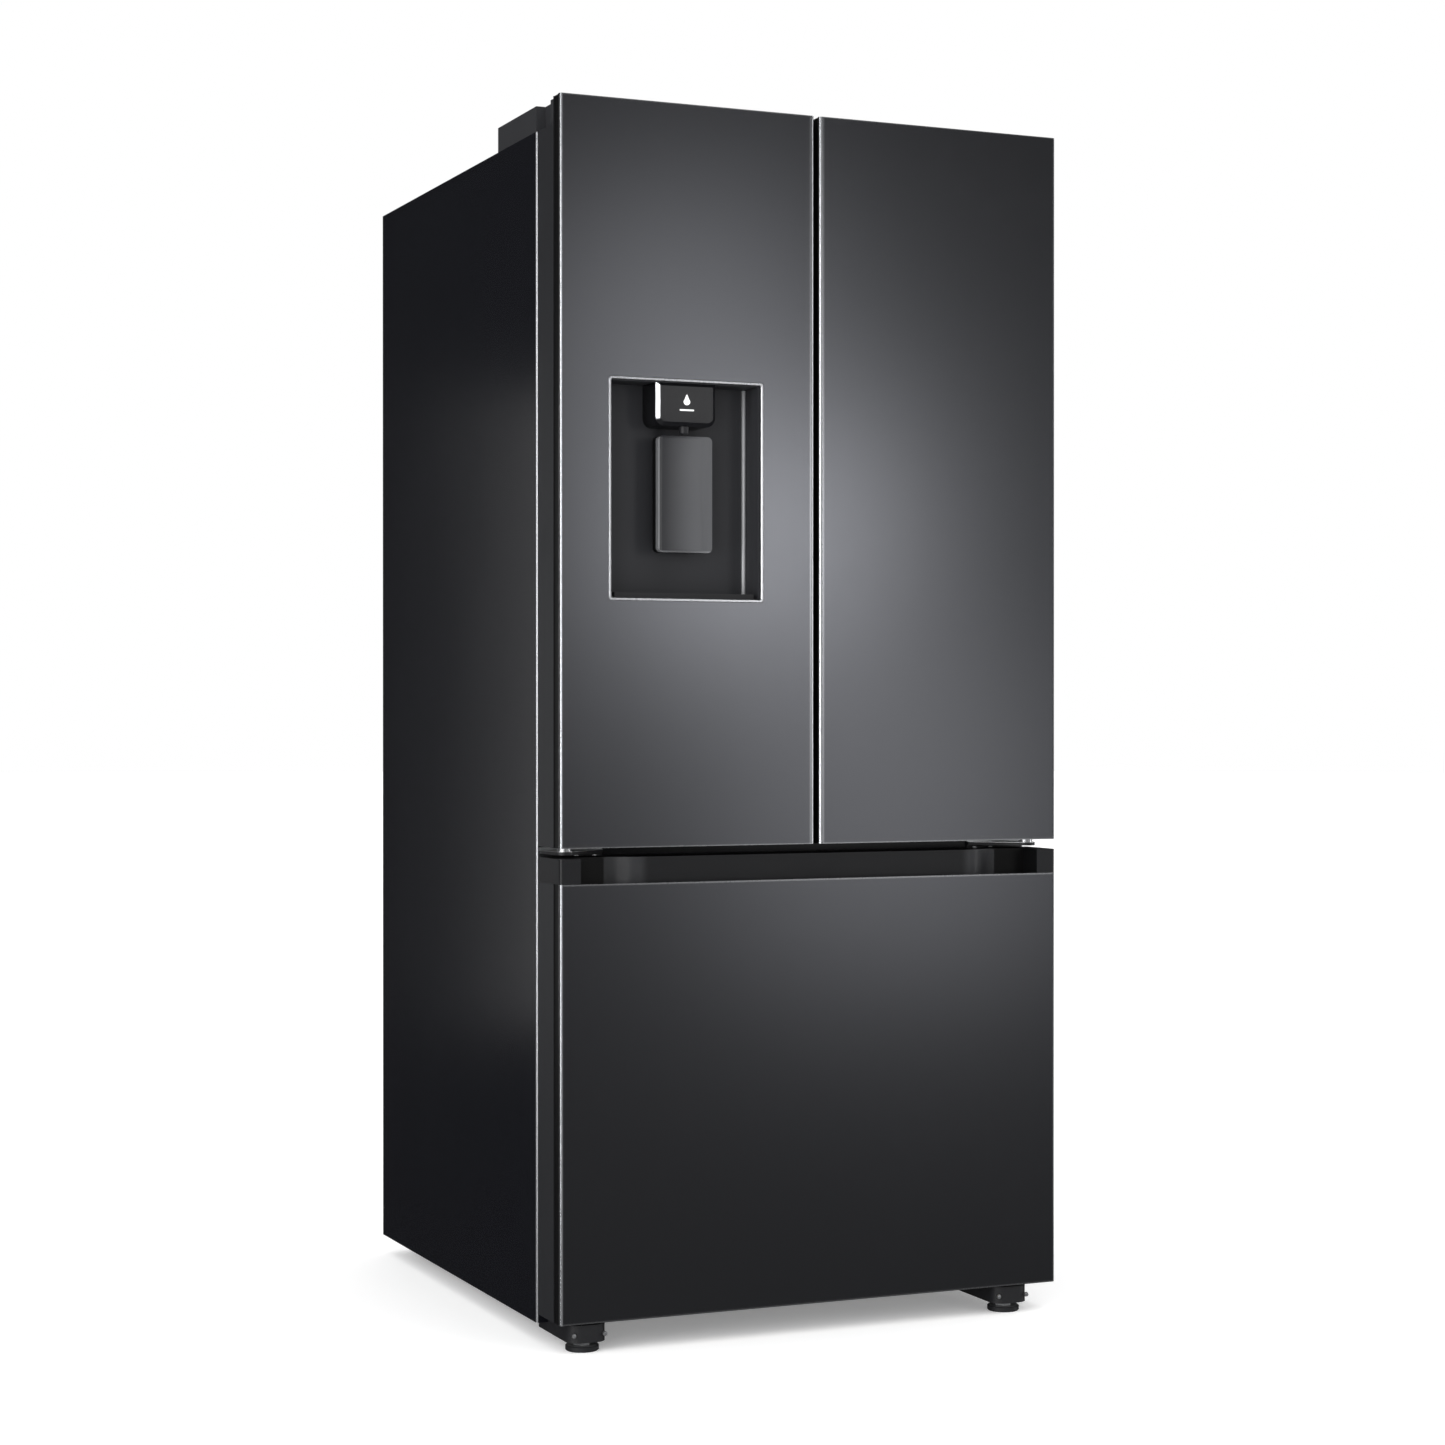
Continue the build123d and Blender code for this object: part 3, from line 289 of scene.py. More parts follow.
class Sheet:
    """A node tree with short ways to place and join its nodes."""

    def __init__(self, tree: bpy.types.NodeTree) -> None:
        """Keeps the tree that the nodes are placed in."""
        self.tree = tree

    def feed(self, socket: Socket, value: object) -> None:
        """Joins a socket to another, or sets it to a plain value.

        Args:
            socket: The input.
            value: An output socket, a number or a tuple.
        """
        if isinstance(value, bpy.types.NodeSocket):
            self.tree.links.new(value, socket)
        else:
            socket.default_value = value

    def put(self, kind: str, settings: dict[str, object], inputs: Inputs) -> bpy.types.Node:
        """Places a node.

        Args:
            kind: The node's type name.
            settings: Its properties by name.
            inputs: What goes into its sockets, by socket name or number.

        Returns:
            The node.
        """
        node = self.tree.nodes.new(kind)
        for name, value in settings.items():
            setattr(node, name, value)
        for key, value in inputs.items():
            self.feed(node.inputs[key], value)
        return node

    def group(self, tree: bpy.types.NodeTree, inputs: Inputs) -> bpy.types.NodeOutputs:
        """Places a node group and returns its outputs."""
        return self.put("ShaderNodeGroup", {"node_tree": tree}, inputs).outputs

    def reckon(self, operation: str, first: object, second: object) -> Socket:
        """Places a math node and returns its output."""
        inputs = {0: first, 1: second}
        return self.put("ShaderNodeMath", {"operation": operation}, inputs).outputs[0]

    def times(self, first: object, second: object) -> Socket:
        """Multiplies two numbers."""
        return self.reckon("MULTIPLY", first, second)

    def plus(self, first: object, second: object) -> Socket:
        """Adds two numbers."""
        return self.reckon("ADD", first, second)

    def minus(self, first: object, second: object) -> Socket:
        """Takes the second number from the first."""
        return self.reckon("SUBTRACT", first, second)

    def blend(self, first: object, second: object, share: float) -> Socket:
        """Adds two numbers, the first in the given share and the second in the rest."""
        return self.plus(self.times(first, share), self.times(second, 1 - share))

    def mix_colour(self, factor: object, first: object, second: object) -> Socket:
        """Places a colour mix and returns its output."""
        inputs = {0: factor, 6: first, 7: second}
        return self.put("ShaderNodeMix", {"data_type": "RGBA"}, inputs).outputs[2]

    def mix_value(self, factor: object, first: object, second: object) -> Socket:
        """Places a number mix and returns its output."""
        inputs = {0: factor, 2: first, 3: second}
        return self.put("ShaderNodeMix", {"data_type": "FLOAT"}, inputs).outputs[0]

    def ramp(self, value: object, low: object, high: object) -> Socket:
        """Places a smooth step from 0 at low to 1 at high and returns its output."""
        settings = {"interpolation_type": "SMOOTHSTEP"}
        return self.put("ShaderNodeMapRange", settings, {0: value, 1: low, 2: high}).outputs[0]

    def noise(self, vector: object, scale: object, detail: float) -> Socket:
        """Places a noise texture and returns its value."""
        inputs = {"Vector": vector, "Scale": scale, "Detail": detail}
        return self.put("ShaderNodeTexNoise", {}, inputs).outputs[0]

    def drawn_out(self, place: Socket, squeeze: float) -> Socket:
        """Squeezes the upright coordinate, which draws a pattern out along it."""
        inputs = {0: place, 1: (1, 1, squeeze)}
        return self.put("ShaderNodeVectorMath", {"operation": "MULTIPLY"}, inputs).outputs[0]

    def parts(self, vector: object) -> bpy.types.NodeOutputs:
        """Splits a vector and returns its X, Y and Z."""
        return self.put("ShaderNodeSeparateXYZ", {}, {0: vector}).outputs


class EffectLibrary:
    """Shader node groups that several finishes share, each built once."""

    def __init__(self) -> None:
        """Starts with no groups."""
        self.groups: dict[str, bpy.types.NodeTree] = {}

    def _open(
        self, name: str, vectors: Names, numbers: Names, outputs: Names
    ) -> tuple[Sheet, dict[str, Socket], dict[str, Socket]]:
        """Makes an empty group with its sockets.

        Args:
            name: The group's name.
            vectors: Names of the inputs that are vectors.
            numbers: Names of the inputs that are numbers.
            outputs: Names of the outputs, all numbers.

        Returns:
            The sheet, its input sockets and its output sockets, by name.
        """
        tree = bpy.data.node_groups.new(name, "ShaderNodeTree")
        for labels, way, kind in (
            (vectors, "INPUT", "Vector"), (numbers, "INPUT", "Float"), (outputs, "OUTPUT", "Float")
        ):
            for label in labels:
                tree.interface.new_socket(name=label, in_out=way, socket_type=f"NodeSocket{kind}")
        self.groups[name] = tree
        entry = tree.nodes.new("NodeGroupInput")
        leave = tree.nodes.new("NodeGroupOutput")
        given = {label: entry.outputs[label] for label in vectors + numbers}
        return Sheet(tree), given, {label: leave.inputs[label] for label in outputs}

    def grain(self, kind: Grain) -> bpy.types.NodeTree:
        """Gives the group of a grain, which puts out Shade, Gloss and Height from 0 to 1.

        Args:
            kind: The grain.

        Returns:
            The node group.
        """
        name = f"grain_{kind.value}"
        if name in self.groups:
            return self.groups[name]
        sheet, given, out = self._open(name, ("Place",), ("Pitch",), ("Shade", "Gloss", "Height"))
        place, pitch = given["Place"], given["Pitch"]
        if kind is Grain.BRUSHED:
            drawn = sheet.drawn_out(place, BRUSH_SQUEEZE)
            gloss = height = sheet.noise(drawn, pitch, 3.0)
            broad = sheet.noise(drawn, sheet.times(pitch, BROAD_BRUSH), 2.0)
            shade = sheet.blend(height, broad, 0.6)
        elif kind is Grain.MOULDED:
            inputs = {"Vector": place, "Scale": pitch}
            cells = sheet.put("ShaderNodeTexVoronoi", {"feature": "SMOOTH_F1"}, inputs).outputs[0]
            shade = sheet.noise(place, MOULD_CLOUD, 3.0)
            fine = sheet.noise(place, sheet.times(pitch, FINE_MOULD), 2.0)
            gloss = sheet.blend(shade, fine, 0.5)
            height = sheet.blend(cells, fine, 0.6)
        elif kind is Grain.PAINTED:
            shade = sheet.noise(place, PAINT_CLOUD, 4.0)
            height = sheet.noise(place, pitch, 2.0)
            gloss = sheet.blend(shade, height, 0.5)
        else:
            wipes = sheet.drawn_out(place, WIPE_SQUEEZE)
            shade = gloss = height = sheet.noise(wipes, pitch, 4.0)
        for label, socket in (("Shade", shade), ("Gloss", gloss), ("Height", height)):
            sheet.feed(out[label], socket)
        return self.groups[name]

    def handling(self) -> bpy.types.NodeTree:
        """Gives the group of faint wiping marks, a mask that is 0 on most of the surface."""
        if "handling_marks" not in self.groups:
            sheet, given, out = self._open("handling_marks", ("Place",), (), ("Marks",))
            swirls = sheet.ramp(sheet.noise(given["Place"], 3.2, 5.0), 0.5, 0.72)
            spots = sheet.ramp(sheet.noise(given["Place"], 26.0, 2.0), 0.3, 0.8)
            sheet.feed(out["Marks"], sheet.times(swirls, spots))
        return self.groups["handling_marks"]

    def dust(self) -> bpy.types.NodeTree:
        """Gives the group of settled dust, a mask on the faces that look up."""
        if "settled_dust" not in self.groups:
            sheet, given, out = self._open(
                "settled_dust", ("Place", "Facing"), ("Amount",), ("Dust",)
            )
            drifts = sheet.noise(given["Place"], 9.0, 5.0)
            specks = sheet.noise(given["Place"], 160.0, 3.0)
            cloud = sheet.ramp(sheet.times(drifts, specks), 0.12, 0.42)
            up = sheet.ramp(sheet.parts(given["Facing"])[2], 0.75, 0.98)
            sheet.feed(out["Dust"], sheet.times(sheet.times(up, cloud), given["Amount"]))
        return self.groups["settled_dust"]

    def slab(self) -> bpy.types.NodeTree:
        """Gives the group that is 1 between two distances and 0 outside them."""
        if "slab_mask" not in self.groups:
            numbers = ("Distance", "Low", "High", "Soft")
            sheet, given, out = self._open("slab_mask", (), numbers, ("Mask",))
            steps = []
            for end in (given["Low"], given["High"]):
                first, last = sheet.minus(end, given["Soft"]), sheet.plus(end, given["Soft"])
                steps.append(sheet.ramp(given["Distance"], first, last))
            sheet.feed(out["Mask"], sheet.minus(*steps))
        return self.groups["slab_mask"]


@dataclass
class Channels:
    """The sockets that one finish gives to the shader."""

    colour: Socket
    roughness: Socket
    height: Socket


class FinishShop:
    """Makes each finish into a material, once."""

    def __init__(self) -> None:
        """Starts with no materials."""
        self.effects = EffectLibrary()
        self.made: dict[str, bpy.types.Material] = {}

    def _channels(self, sheet: Sheet, finish: Finish, place: Socket, facing: Socket) -> Channels:
        """Places the nodes of one finish.

        Args:
            sheet: The material's sheet.
            finish: The finish.
            place: Object coordinates.
            facing: The surface's normal.

        Returns:
            The sockets of its colour, roughness and height.
        """
        inputs = {"Place": place, "Pitch": finish.pitch}
        grain = sheet.group(self.effects.grain(finish.grain), inputs)
        marks = sheet.group(self.effects.handling(), {"Place": place})[0]
        colour = sheet.mix_colour(grain["Shade"], (*finish.colour, 1), (*finish.drift, 1))
        wear = sheet.plus(grain["Gloss"], sheet.times(marks, MARK_WEIGHT))
        swing = sheet.times(sheet.minus(wear, 0.5), finish.swing * 2)
        roughness = sheet.plus(swing, finish.roughness)
        if finish.dust:
            inputs = {"Place": place, "Facing": facing, "Amount": finish.dust}
            dust = sheet.group(self.effects.dust(), inputs)[0]
            colour = sheet.mix_colour(dust, colour, DUST_COLOUR)
            roughness = sheet.mix_value(dust, roughness, DUST_ROUGHNESS)
        height = sheet.times(grain["Height"], finish.relief)
        if finish.lift:
            height = sheet.plus(height, finish.lift)
        return Channels(colour, roughness, height)

    def _zone_mask(self, sheet: Sheet, zones: tuple[Zone, ...], place: Socket) -> Socket:
        """Multiplies the masks of the zones.

        Args:
            sheet: The material's sheet.
            zones: The slabs that have to meet.
            place: Object coordinates.

        Returns:
            The mask's socket.
        """
        parts = sheet.parts(place)
        mask: object = 1.0
        for zone in zones:
            inputs = {"Distance": parts[zone.axis.value], "Low": zone.low, "High": zone.high}
            one = sheet.group(self.effects.slab(), {**inputs, "Soft": zone.soft})[0]
            if zone.outside:
                one = sheet.minus(1.0, one)
            mask = sheet.times(mask, one)
        return mask

    def material(self, finish: Finish | ZonedFinish) -> bpy.types.Material:
        """Gives the material of a finish.

        Args:
            finish: A plain or a zoned finish.

        Returns:
            The material, which is built the first time it is asked for.
        """
        if finish.name in self.made:
            return self.made[finish.name]
        zoned = isinstance(finish, ZonedFinish)
        base = finish.base if zoned else finish
        material = bpy.data.materials.new(finish.name)
        material.use_nodes = True
        sockets = material.node_tree.nodes["Principled BSDF"].inputs
        sheet = Sheet(material.node_tree)
        place = sheet.put("ShaderNodeTexCoord", {}, {}).outputs["Object"]
        facing = sheet.put("ShaderNodeNewGeometry", {}, {}).outputs["Normal"]
        channels = self._channels(sheet, base, place, facing)
        metallic: object = base.metallic
        for layer in finish.layers if zoned else ():
            mask = self._zone_mask(sheet, layer.zones, place)
            upper = self._channels(sheet, layer.finish, place, facing)
            channels.colour = sheet.mix_colour(mask, channels.colour, upper.colour)
            channels.roughness = sheet.mix_value(mask, channels.roughness, upper.roughness)
            channels.height = sheet.mix_value(mask, channels.height, upper.height)
            if layer.finish.metallic != base.metallic:
                metallic = sheet.mix_value(mask, metallic, layer.finish.metallic)
        values = {
            "Base Color": channels.colour, "Roughness": channels.roughness, "Metallic": metallic,
            "Specular IOR Level": base.specular, "Coat Weight": base.coat,
            "Coat Roughness": COAT_ROUGHNESS, "Alpha": base.alpha,
        }
        if base.glow:
            values |= {"Emission Color": (*base.colour, 1), "Emission Strength": base.glow}
        if base.relief:
            inputs = {"Strength": 1.0, "Distance": 1.0, "Height": channels.height}
            values["Normal"] = sheet.put("ShaderNodeBump", {}, inputs).outputs[0]
        for label, value in values.items():
            sheet.feed(sockets[label], value)
        material.diffuse_color = (*base.colour, base.alpha)
        self.made[finish.name] = material
        return material


# ------------------------------------------------------------------ mesh making


def block(bm: BMesh, low: Point, high: Point) -> list[BMVert]:
    """Adds a box.

    Args:
        bm: The mesh.
        low: Lowest corner.
        high: Highest corner.

    Returns:
        Its eight corners.
    """
    a, b = Vector(low), Vector(high)
    place = Matrix.Translation((a + b) / 2) @ Matrix.Diagonal((*(b - a), 1))
    return bmesh.ops.create_cube(bm, size=1, matrix=place)["verts"]


def edges_of(verts: list[BMVert], axis: Axis | None = None) -> list[BMEdge]:
    """Finds the edges among some vertices.

    Args:
        verts: The vertices.
        axis: Only edges in this direction, or all of them.

    Returns:
        The edges, in a fixed order.
    """
    chosen = set(verts)
    found = {e for v in verts for e in v.link_edges if e.other_vert(v) in chosen}
    if axis is not None:
        way = {e: (e.verts[1].co - e.verts[0].co).normalized()[axis.value] for e in found}
        found = {e for e in found if abs(way[e]) > 0.99}
    return sorted(found, key=lambda e: tuple(round(c, 6) for v in e.verts for c in v.co))


def soften(bm: BMesh, edges: list[BMEdge], radius: float, segments: int = 3) -> None:
    """Rounds edges.

    Args:
        bm: The mesh.
        edges: The edges.
        radius: Rounding in metres.
        segments: Faces across the rounding.
    """
    bmesh.ops.bevel(bm, geom=edges, offset=radius, offset_type="OFFSET", segments=segments,
                    profile=0.5, affect="EDGES", material=-1, clamp_overlap=True)


def soft_block(
    bm: BMesh, low: Point, high: Point, radius: float, segments: int = 2,
    axis: Axis | None = None, corner: float = 0.0
) -> None:
    """Adds a box with rounded edges.

    Args:
        bm: The mesh.
        low: Lowest corner.
        high: Highest corner.
        radius: Rounding of every edge.
        segments: Faces across that rounding.
        axis: Direction of the four edges that get a wider rounding first.
        corner: That wider rounding.
    """
    part = bmesh.new()
    verts = block(part, low, high)
    if axis is not None and corner:
        soften(part, edges_of(verts, axis), corner, 6)
    closed = [e for e in part.edges if len(e.link_faces) == 2]
    sharp = [e for e in closed if e.calc_face_angle() > SHARP_ANGLE]
    soften(part, sharp, radius, segments)
    join(bm, part)


def join(bm: BMesh, part: BMesh) -> None:
    """Moves a small mesh into a larger one.

    Args:
        bm: The larger mesh.
        part: The small one, which is freed.
    """
    carrier = bpy.data.meshes.new("carrier")
    part.to_mesh(carrier)
    bm.from_mesh(carrier)
    part.free()
    bpy.data.meshes.remove(carrier)


def screw_head(bm: BMesh, centre: Point, radius: float, height: float, outward: Vector) -> None:
    """Adds a pan head screw with a cross recess.

    Args:
        bm: The mesh.
        centre: Middle of the face that the head lies on.
        radius: Head radius.
        height: Head height.
        outward: Direction in which the head stands up.
    """
    part = bmesh.new()
    bmesh.ops.create_cone(part, cap_ends=True, segments=24, radius1=radius,
                          radius2=radius * 0.86, depth=height)
    bmesh.ops.translate(part, verts=part.verts, vec=(0, 0, height / 2))
    top = [f for f in part.faces if f.normal.z > 0.9]
    bmesh.ops.inset_region(part, faces=top, thickness=radius * 0.42, depth=height * 0.08)
    bmesh.ops.inset_region(part, faces=top, thickness=radius * 0.12, depth=-height * 0.45)
    turn = Vector((0, 0, 1)).rotation_difference(outward).to_matrix().to_4x4()
    bmesh.ops.transform(part, matrix=Matrix.Translation(centre) @ turn, verts=part.verts)
    join(bm, part)


def mitred_frame(bm: BMesh, section: list[tuple[float, float]], low: Point, high: Point) -> None:
    """Runs a closed section round an upright rectangle, with mitred corners.

    Args:
        bm: The mesh.
        section: Points as distance in from the rectangle's edge and height along Y.
        low: The rectangle's lowest corner.
        high: Its highest corner.
    """
    part = bmesh.new()
    middle = (Vector(low) + Vector(high)) / 2
    verts = [part.verts.new((low[0] + inset, depth, low[2] + inset)) for inset, depth in section]
    ring = [part.edges.new((verts[i - 1], verts[i])) for i in range(len(verts))]
    rings = [ring]
    for flip in ((-1, 1, 1), (1, 1, -1), (-1, 1, 1)):
        whole = rings[-1] + list({v for e in rings[-1] for v in e.verts})
        copied = bmesh.ops.duplicate(part, geom=whole)["geom"]
        corner = [g for g in copied if isinstance(g, BMVert)]
        bmesh.ops.scale(part, vec=flip, verts=corner, space=Matrix.Translation(-middle))
        rings.append([g for g in copied if isinstance(g, BMEdge)])
    for first, second in zip(rings, rings[1:] + rings[:1]):
        bmesh.ops.bridge_loops(part, edges=first + second)
    bmesh.ops.recalc_face_normals(part, faces=part.faces)
    join(bm, part)


def hang(name: str, data: bpy.types.ID) -> bpy.types.Object:
    """Makes an object of a mesh, a light or a camera and links it to the scene."""
    holder = bpy.data.objects.new(name, data)
    bpy.context.scene.collection.objects.link(holder)
    return holder


@dataclass
class Assembly:
    """What every sub-assembly can do: dress frame nodes and place new pieces."""

    shop: FinishShop

    def dress(self, finish: Finish | ZonedFinish, *nodes: str) -> None:
        """Gives frame nodes a finish.

        Args:
            finish: The finish.
            nodes: Names of the nodes.
        """
        for name in nodes:
            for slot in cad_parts[name].material_slots:
                slot.material = self.shop.material(finish)
            log.info("dressed %s in %s", name, finish.name)

    def place(
        self, name: str, bm: BMesh, finish: Finish | ZonedFinish, body: str,
        instead_of: tuple[str, ...] = ()
    ) -> None:
        """Makes a mesh into a piece that rides on a body.

        Args:
            name: The piece's name.
            bm: Its mesh, which is freed.
            finish: Its finish.
            body: The body it rides on.
            instead_of: Frame nodes that it stands for.
        """
        mesh = bpy.data.meshes.new(name)
        bm.to_mesh(mesh)
        bm.free()
        mesh.polygons.foreach_set("use_smooth", [True] * len(mesh.polygons))
        mesh.set_sharp_from_angle(angle=SMOOTH_ANGLE)
        mesh.materials.append(self.shop.material(finish))
        piece = hang(name, mesh)
        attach(piece, body)
        if instead_of:
            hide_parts(*instead_of)
        log.info("placed %s on %s, %d faces", name, body, len(mesh.polygons))

    def strip(
        self, name: str, body: str, span: tuple[float, float], face: float, top: float
    ) -> None:
        """Lays a slim bright strip along the top of a bin or a drawer.

        Args:
            name: The strip's name.
            body: The body it rides on.
            span: X of both its ends.
            face: Y of the face that it is let into.
            top: Z of its upper edge.
        """
        bm = bmesh.new()
        soft_block(bm, (span[0], face - STRIP_HALF, top - STRIP_HEIGHT),
                   (span[1], face + STRIP_HALF, top), 0.0008)
        self.place(name, bm, BRIGHT_TRIM, body)


# ------------------------------------------------------------------ sub-assemblies


@dataclass
class Cabinet(Assembly):
    """The painted shell, its rails and its pressed back."""

    bead_width: float = 0.014
    bead_places: tuple[float, ...] = (-0.24, -0.08, 0.08, 0.24)
    bead_end: float = 0.07
    sheet: float = 0.0005
    border: float = 0.004
    proud: float = 0.00045
    screw_radius: float = 0.0042
    screw_inset: float = 0.022
    screw_end: float = 0.024
    screw_columns: tuple[float, ...] = (-0.16, 0.0, 0.16)
    screw_rows: int = 6
    # Width of the painted highlight down the shell's front edges.
    edge: float = 0.0026
    lap: float = 0.0007

    def build(self) -> None:
        """Dresses the shell, with a painted highlight down its front edges, and presses the back.
        """
        low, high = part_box("cabinet_shell")
        # Painted highlight down both front edges of the shell.
        edge = (Zone(Axis.X, low[0] + self.edge, high[0] - self.edge, 0.0004, outside=True),
                Zone(Axis.Y, low[1] - PAST, low[1] + self.edge, 0.0004))
        shell = ZonedFinish("shell_paint_edge_highlight", SIDE_PAINT, (Layer(FRONT_EDGE_HIGHLIGHT, edge),))
        self.dress(shell, "cabinet_shell")
        self.dress(SIDE_PAINT, "center_rail")
        self.dress(FRAME_STEEL, "base_frame")
        self.dress(FOAM_CREAM, "insulation_foam")
        self.dress(BACK_STEEL, "compressor_cover")
        self.back_sheet()
        self.back_screws()

    def back_sheet(self) -> None:
        """Presses upright beads and a raised border into the back."""
        low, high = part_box("back_panel")
        root, crest, half = low[1] + self.sheet * 0.5, high[1] - 0.0001, self.bead_width / 2
        bm = bmesh.new()
        soft_block(bm, (low[0] - self.lap, low[1], low[2] - 5 * self.lap),
                   (high[0] + self.lap, low[1] + self.sheet, high[2] + self.lap), 0.0002)
        section = [(self.border, root), (self.border + half, root),
                   (self.border + half - 0.001, crest), (self.border + 0.001, crest)]
        mitred_frame(bm, section, low, high)
        layers = []
        for x in self.bead_places:
            soft_block(bm, (x - half, root, low[2] + self.bead_end),
                       (x + half, high[1], high[2] - self.bead_end), 0.0004,
                       axis=Axis.Y, corner=self.bead_width * 0.48)
            ends = (low[2] + self.bead_end + 0.002, high[2] - self.bead_end - 0.002)
            zones = (Zone(Axis.X, x - half, x + half, 0.003), Zone(Axis.Z, *ends, 0.004))
            layers.append(Layer(BEAD_STEEL, zones))
        finish = ZonedFinish("back_pressing", BACK_STEEL, tuple(layers))
        self.place("back_sheet", bm, finish, "cabinet", ("back_panel",))

    def back_screws(self) -> None:
        """Sets screws round the edge of the back."""
        low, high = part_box("back_panel")
        bm = bmesh.new()
        outer = (low[0] + self.screw_inset, high[0] - self.screw_inset)
        columns = [outer[0], *self.screw_columns, outer[1]]
        rise = (high[2] - low[2] - 2 * self.screw_end) / (self.screw_rows - 1)
        rows = [low[2] + self.screw_end + i * rise for i in range(self.screw_rows)]
        places = [(x, z) for x in columns for z in (rows[0], rows[-1])]
        places += [(x, z) for x in outer for z in rows[1:-1]]
        for x, z in places:
            centre = (x, low[1] + self.sheet, z)
            screw_head(bm, centre, self.screw_radius, self.proud, Vector((0, 1, 0)))
        self.place("back_screws", bm, ZINC, "cabinet")


@dataclass
class FoodSpace(Assembly):
    """The white inside of both compartments, with shelves, crispers and lamp."""

    trim_depth: float = 0.011
    trim_lap: float = 0.0035
    trim_overhang: float = 0.003
    lamp_half: float = 0.13
    lamp_depth: float = 0.07
    lamp_setback: float = 0.2
    lens_frame: float = 0.012
    ceiling: float = 1.6905
    shelves: tuple[str, ...] = ("shelf_glass_upper", "shelf_glass_lower", "crisper_cover")

    def build(self) -> None:
        """Dresses the liners and trims the shelves and drawers."""
        self.dress(INNER_WHITE, "fridge_liner", "freezer_liner")
        self.dress(INNER_WHITE, "fridge_duct_cover", "freezer_duct_cover")
        self.dress(SHELF_GLASS, *self.shelves)
        self.dress(CLEAR_PLASTIC, "crisper_left", "crisper_right")
        self.dress(FIN_METAL, "evaporator")
        for name in self.shelves:
            self.shelf_trim(name)
        for side in Side:
            crisper = f"crisper_{side.value}"
            low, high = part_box(crisper)
            span = (low[0] + 0.012, high[0] - 0.012)
            self.strip(f"{crisper}_strip", f"{side.value}_crisper", span, low[1], high[2] - 0.011)
        self.lamp()

    def shelf_trim(self, name: str) -> None:
        """Wraps the front and rear edge of a shelf's glass.

        Args:
            name: The glass node.
        """
        low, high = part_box(name)
        bm = bmesh.new()
        for start in (low[1] - self.trim_overhang, high[1] - self.trim_depth + self.trim_overhang):
            soft_block(bm, (low[0] + 0.0005, start, low[2] - self.trim_lap),
                       (high[0] - 0.0005, start + self.trim_depth, high[2] + self.trim_lap),
                       0.0024, 3)
        self.place(f"{name}_trim", bm, INNER_WHITE, "cabinet")

    def lamp(self) -> None:
        """Sets a lamp with a frosted lens into the ceiling."""
        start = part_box("fridge_liner")[0][1] + self.lamp_setback
        rear = start + self.lamp_depth
        bm = bmesh.new()
        soft_block(bm, (-self.lamp_half, start, self.ceiling - 0.006),
                   (self.lamp_half, rear, self.ceiling), 0.0015, 3, Axis.Z, 0.012)
        self.place("ceiling_lamp_frame", bm, INNER_WHITE, "cabinet")
        half = self.lamp_half - 0.014
        bm = bmesh.new()
        soft_block(bm, (-half, start + self.lens_frame, self.ceiling - 0.0085),
                   (half, rear - self.lens_frame, self.ceiling - 0.002), 0.002, 3, Axis.Z, 0.008)
        self.place("ceiling_lamp_lens", bm, LAMP_LENS, "cabinet")


def bellows_section(low: float, high: float, width: float) -> list[tuple[float, float]]:
    """Gives the section of a folded magnetic seal.

    Args:
        low: Y of the seal's front.
        high: Y of its rear.
        width: How far it reaches in from the edge.

    Returns:
        Points of the closed section.
    """
    shape = ((0.0, 0.0), (1.0, 0.0), (1.0, 0.14), (0.80, 0.24), (0.97, 0.40), (0.82, 0.54),
             (0.94, 0.64), (0.94, 0.92), (0.87, 1.0), (0.13, 1.0), (0.06, 0.92), (0.06, 0.64),
             (0.18, 0.54), (0.03, 0.40), (0.20, 0.24), (0.0, 0.14))
    return [(across * width, low + deep * (high - low)) for across, deep in shape]


@dataclass(frozen=True)
class Bend:
    """The bend along one upright edge of a front steel, coloured as a painted highlight or painted
    shade.

    Attributes:
        finish: How it looks: a painted highlight, or painted shade on a bend that faces away from
            the lamps.
        width: How far in it reaches.
        soft: Half width of its change to the front.
    """

    finish: Finish
    width: float
    soft: float


# Painted highlights on the outer and gap bends; painted shade on the right-hand bends.
OUTER_BEND = Bend(BEND_HIGHLIGHT, 0.0044, 0.0012)
GAP_BEND = Bend(EDGE_HIGHLIGHT, 0.0060, 0.0034)
SHADED_BEND = Bend(SHADED_EDGE, 0.0034, 0.0012)


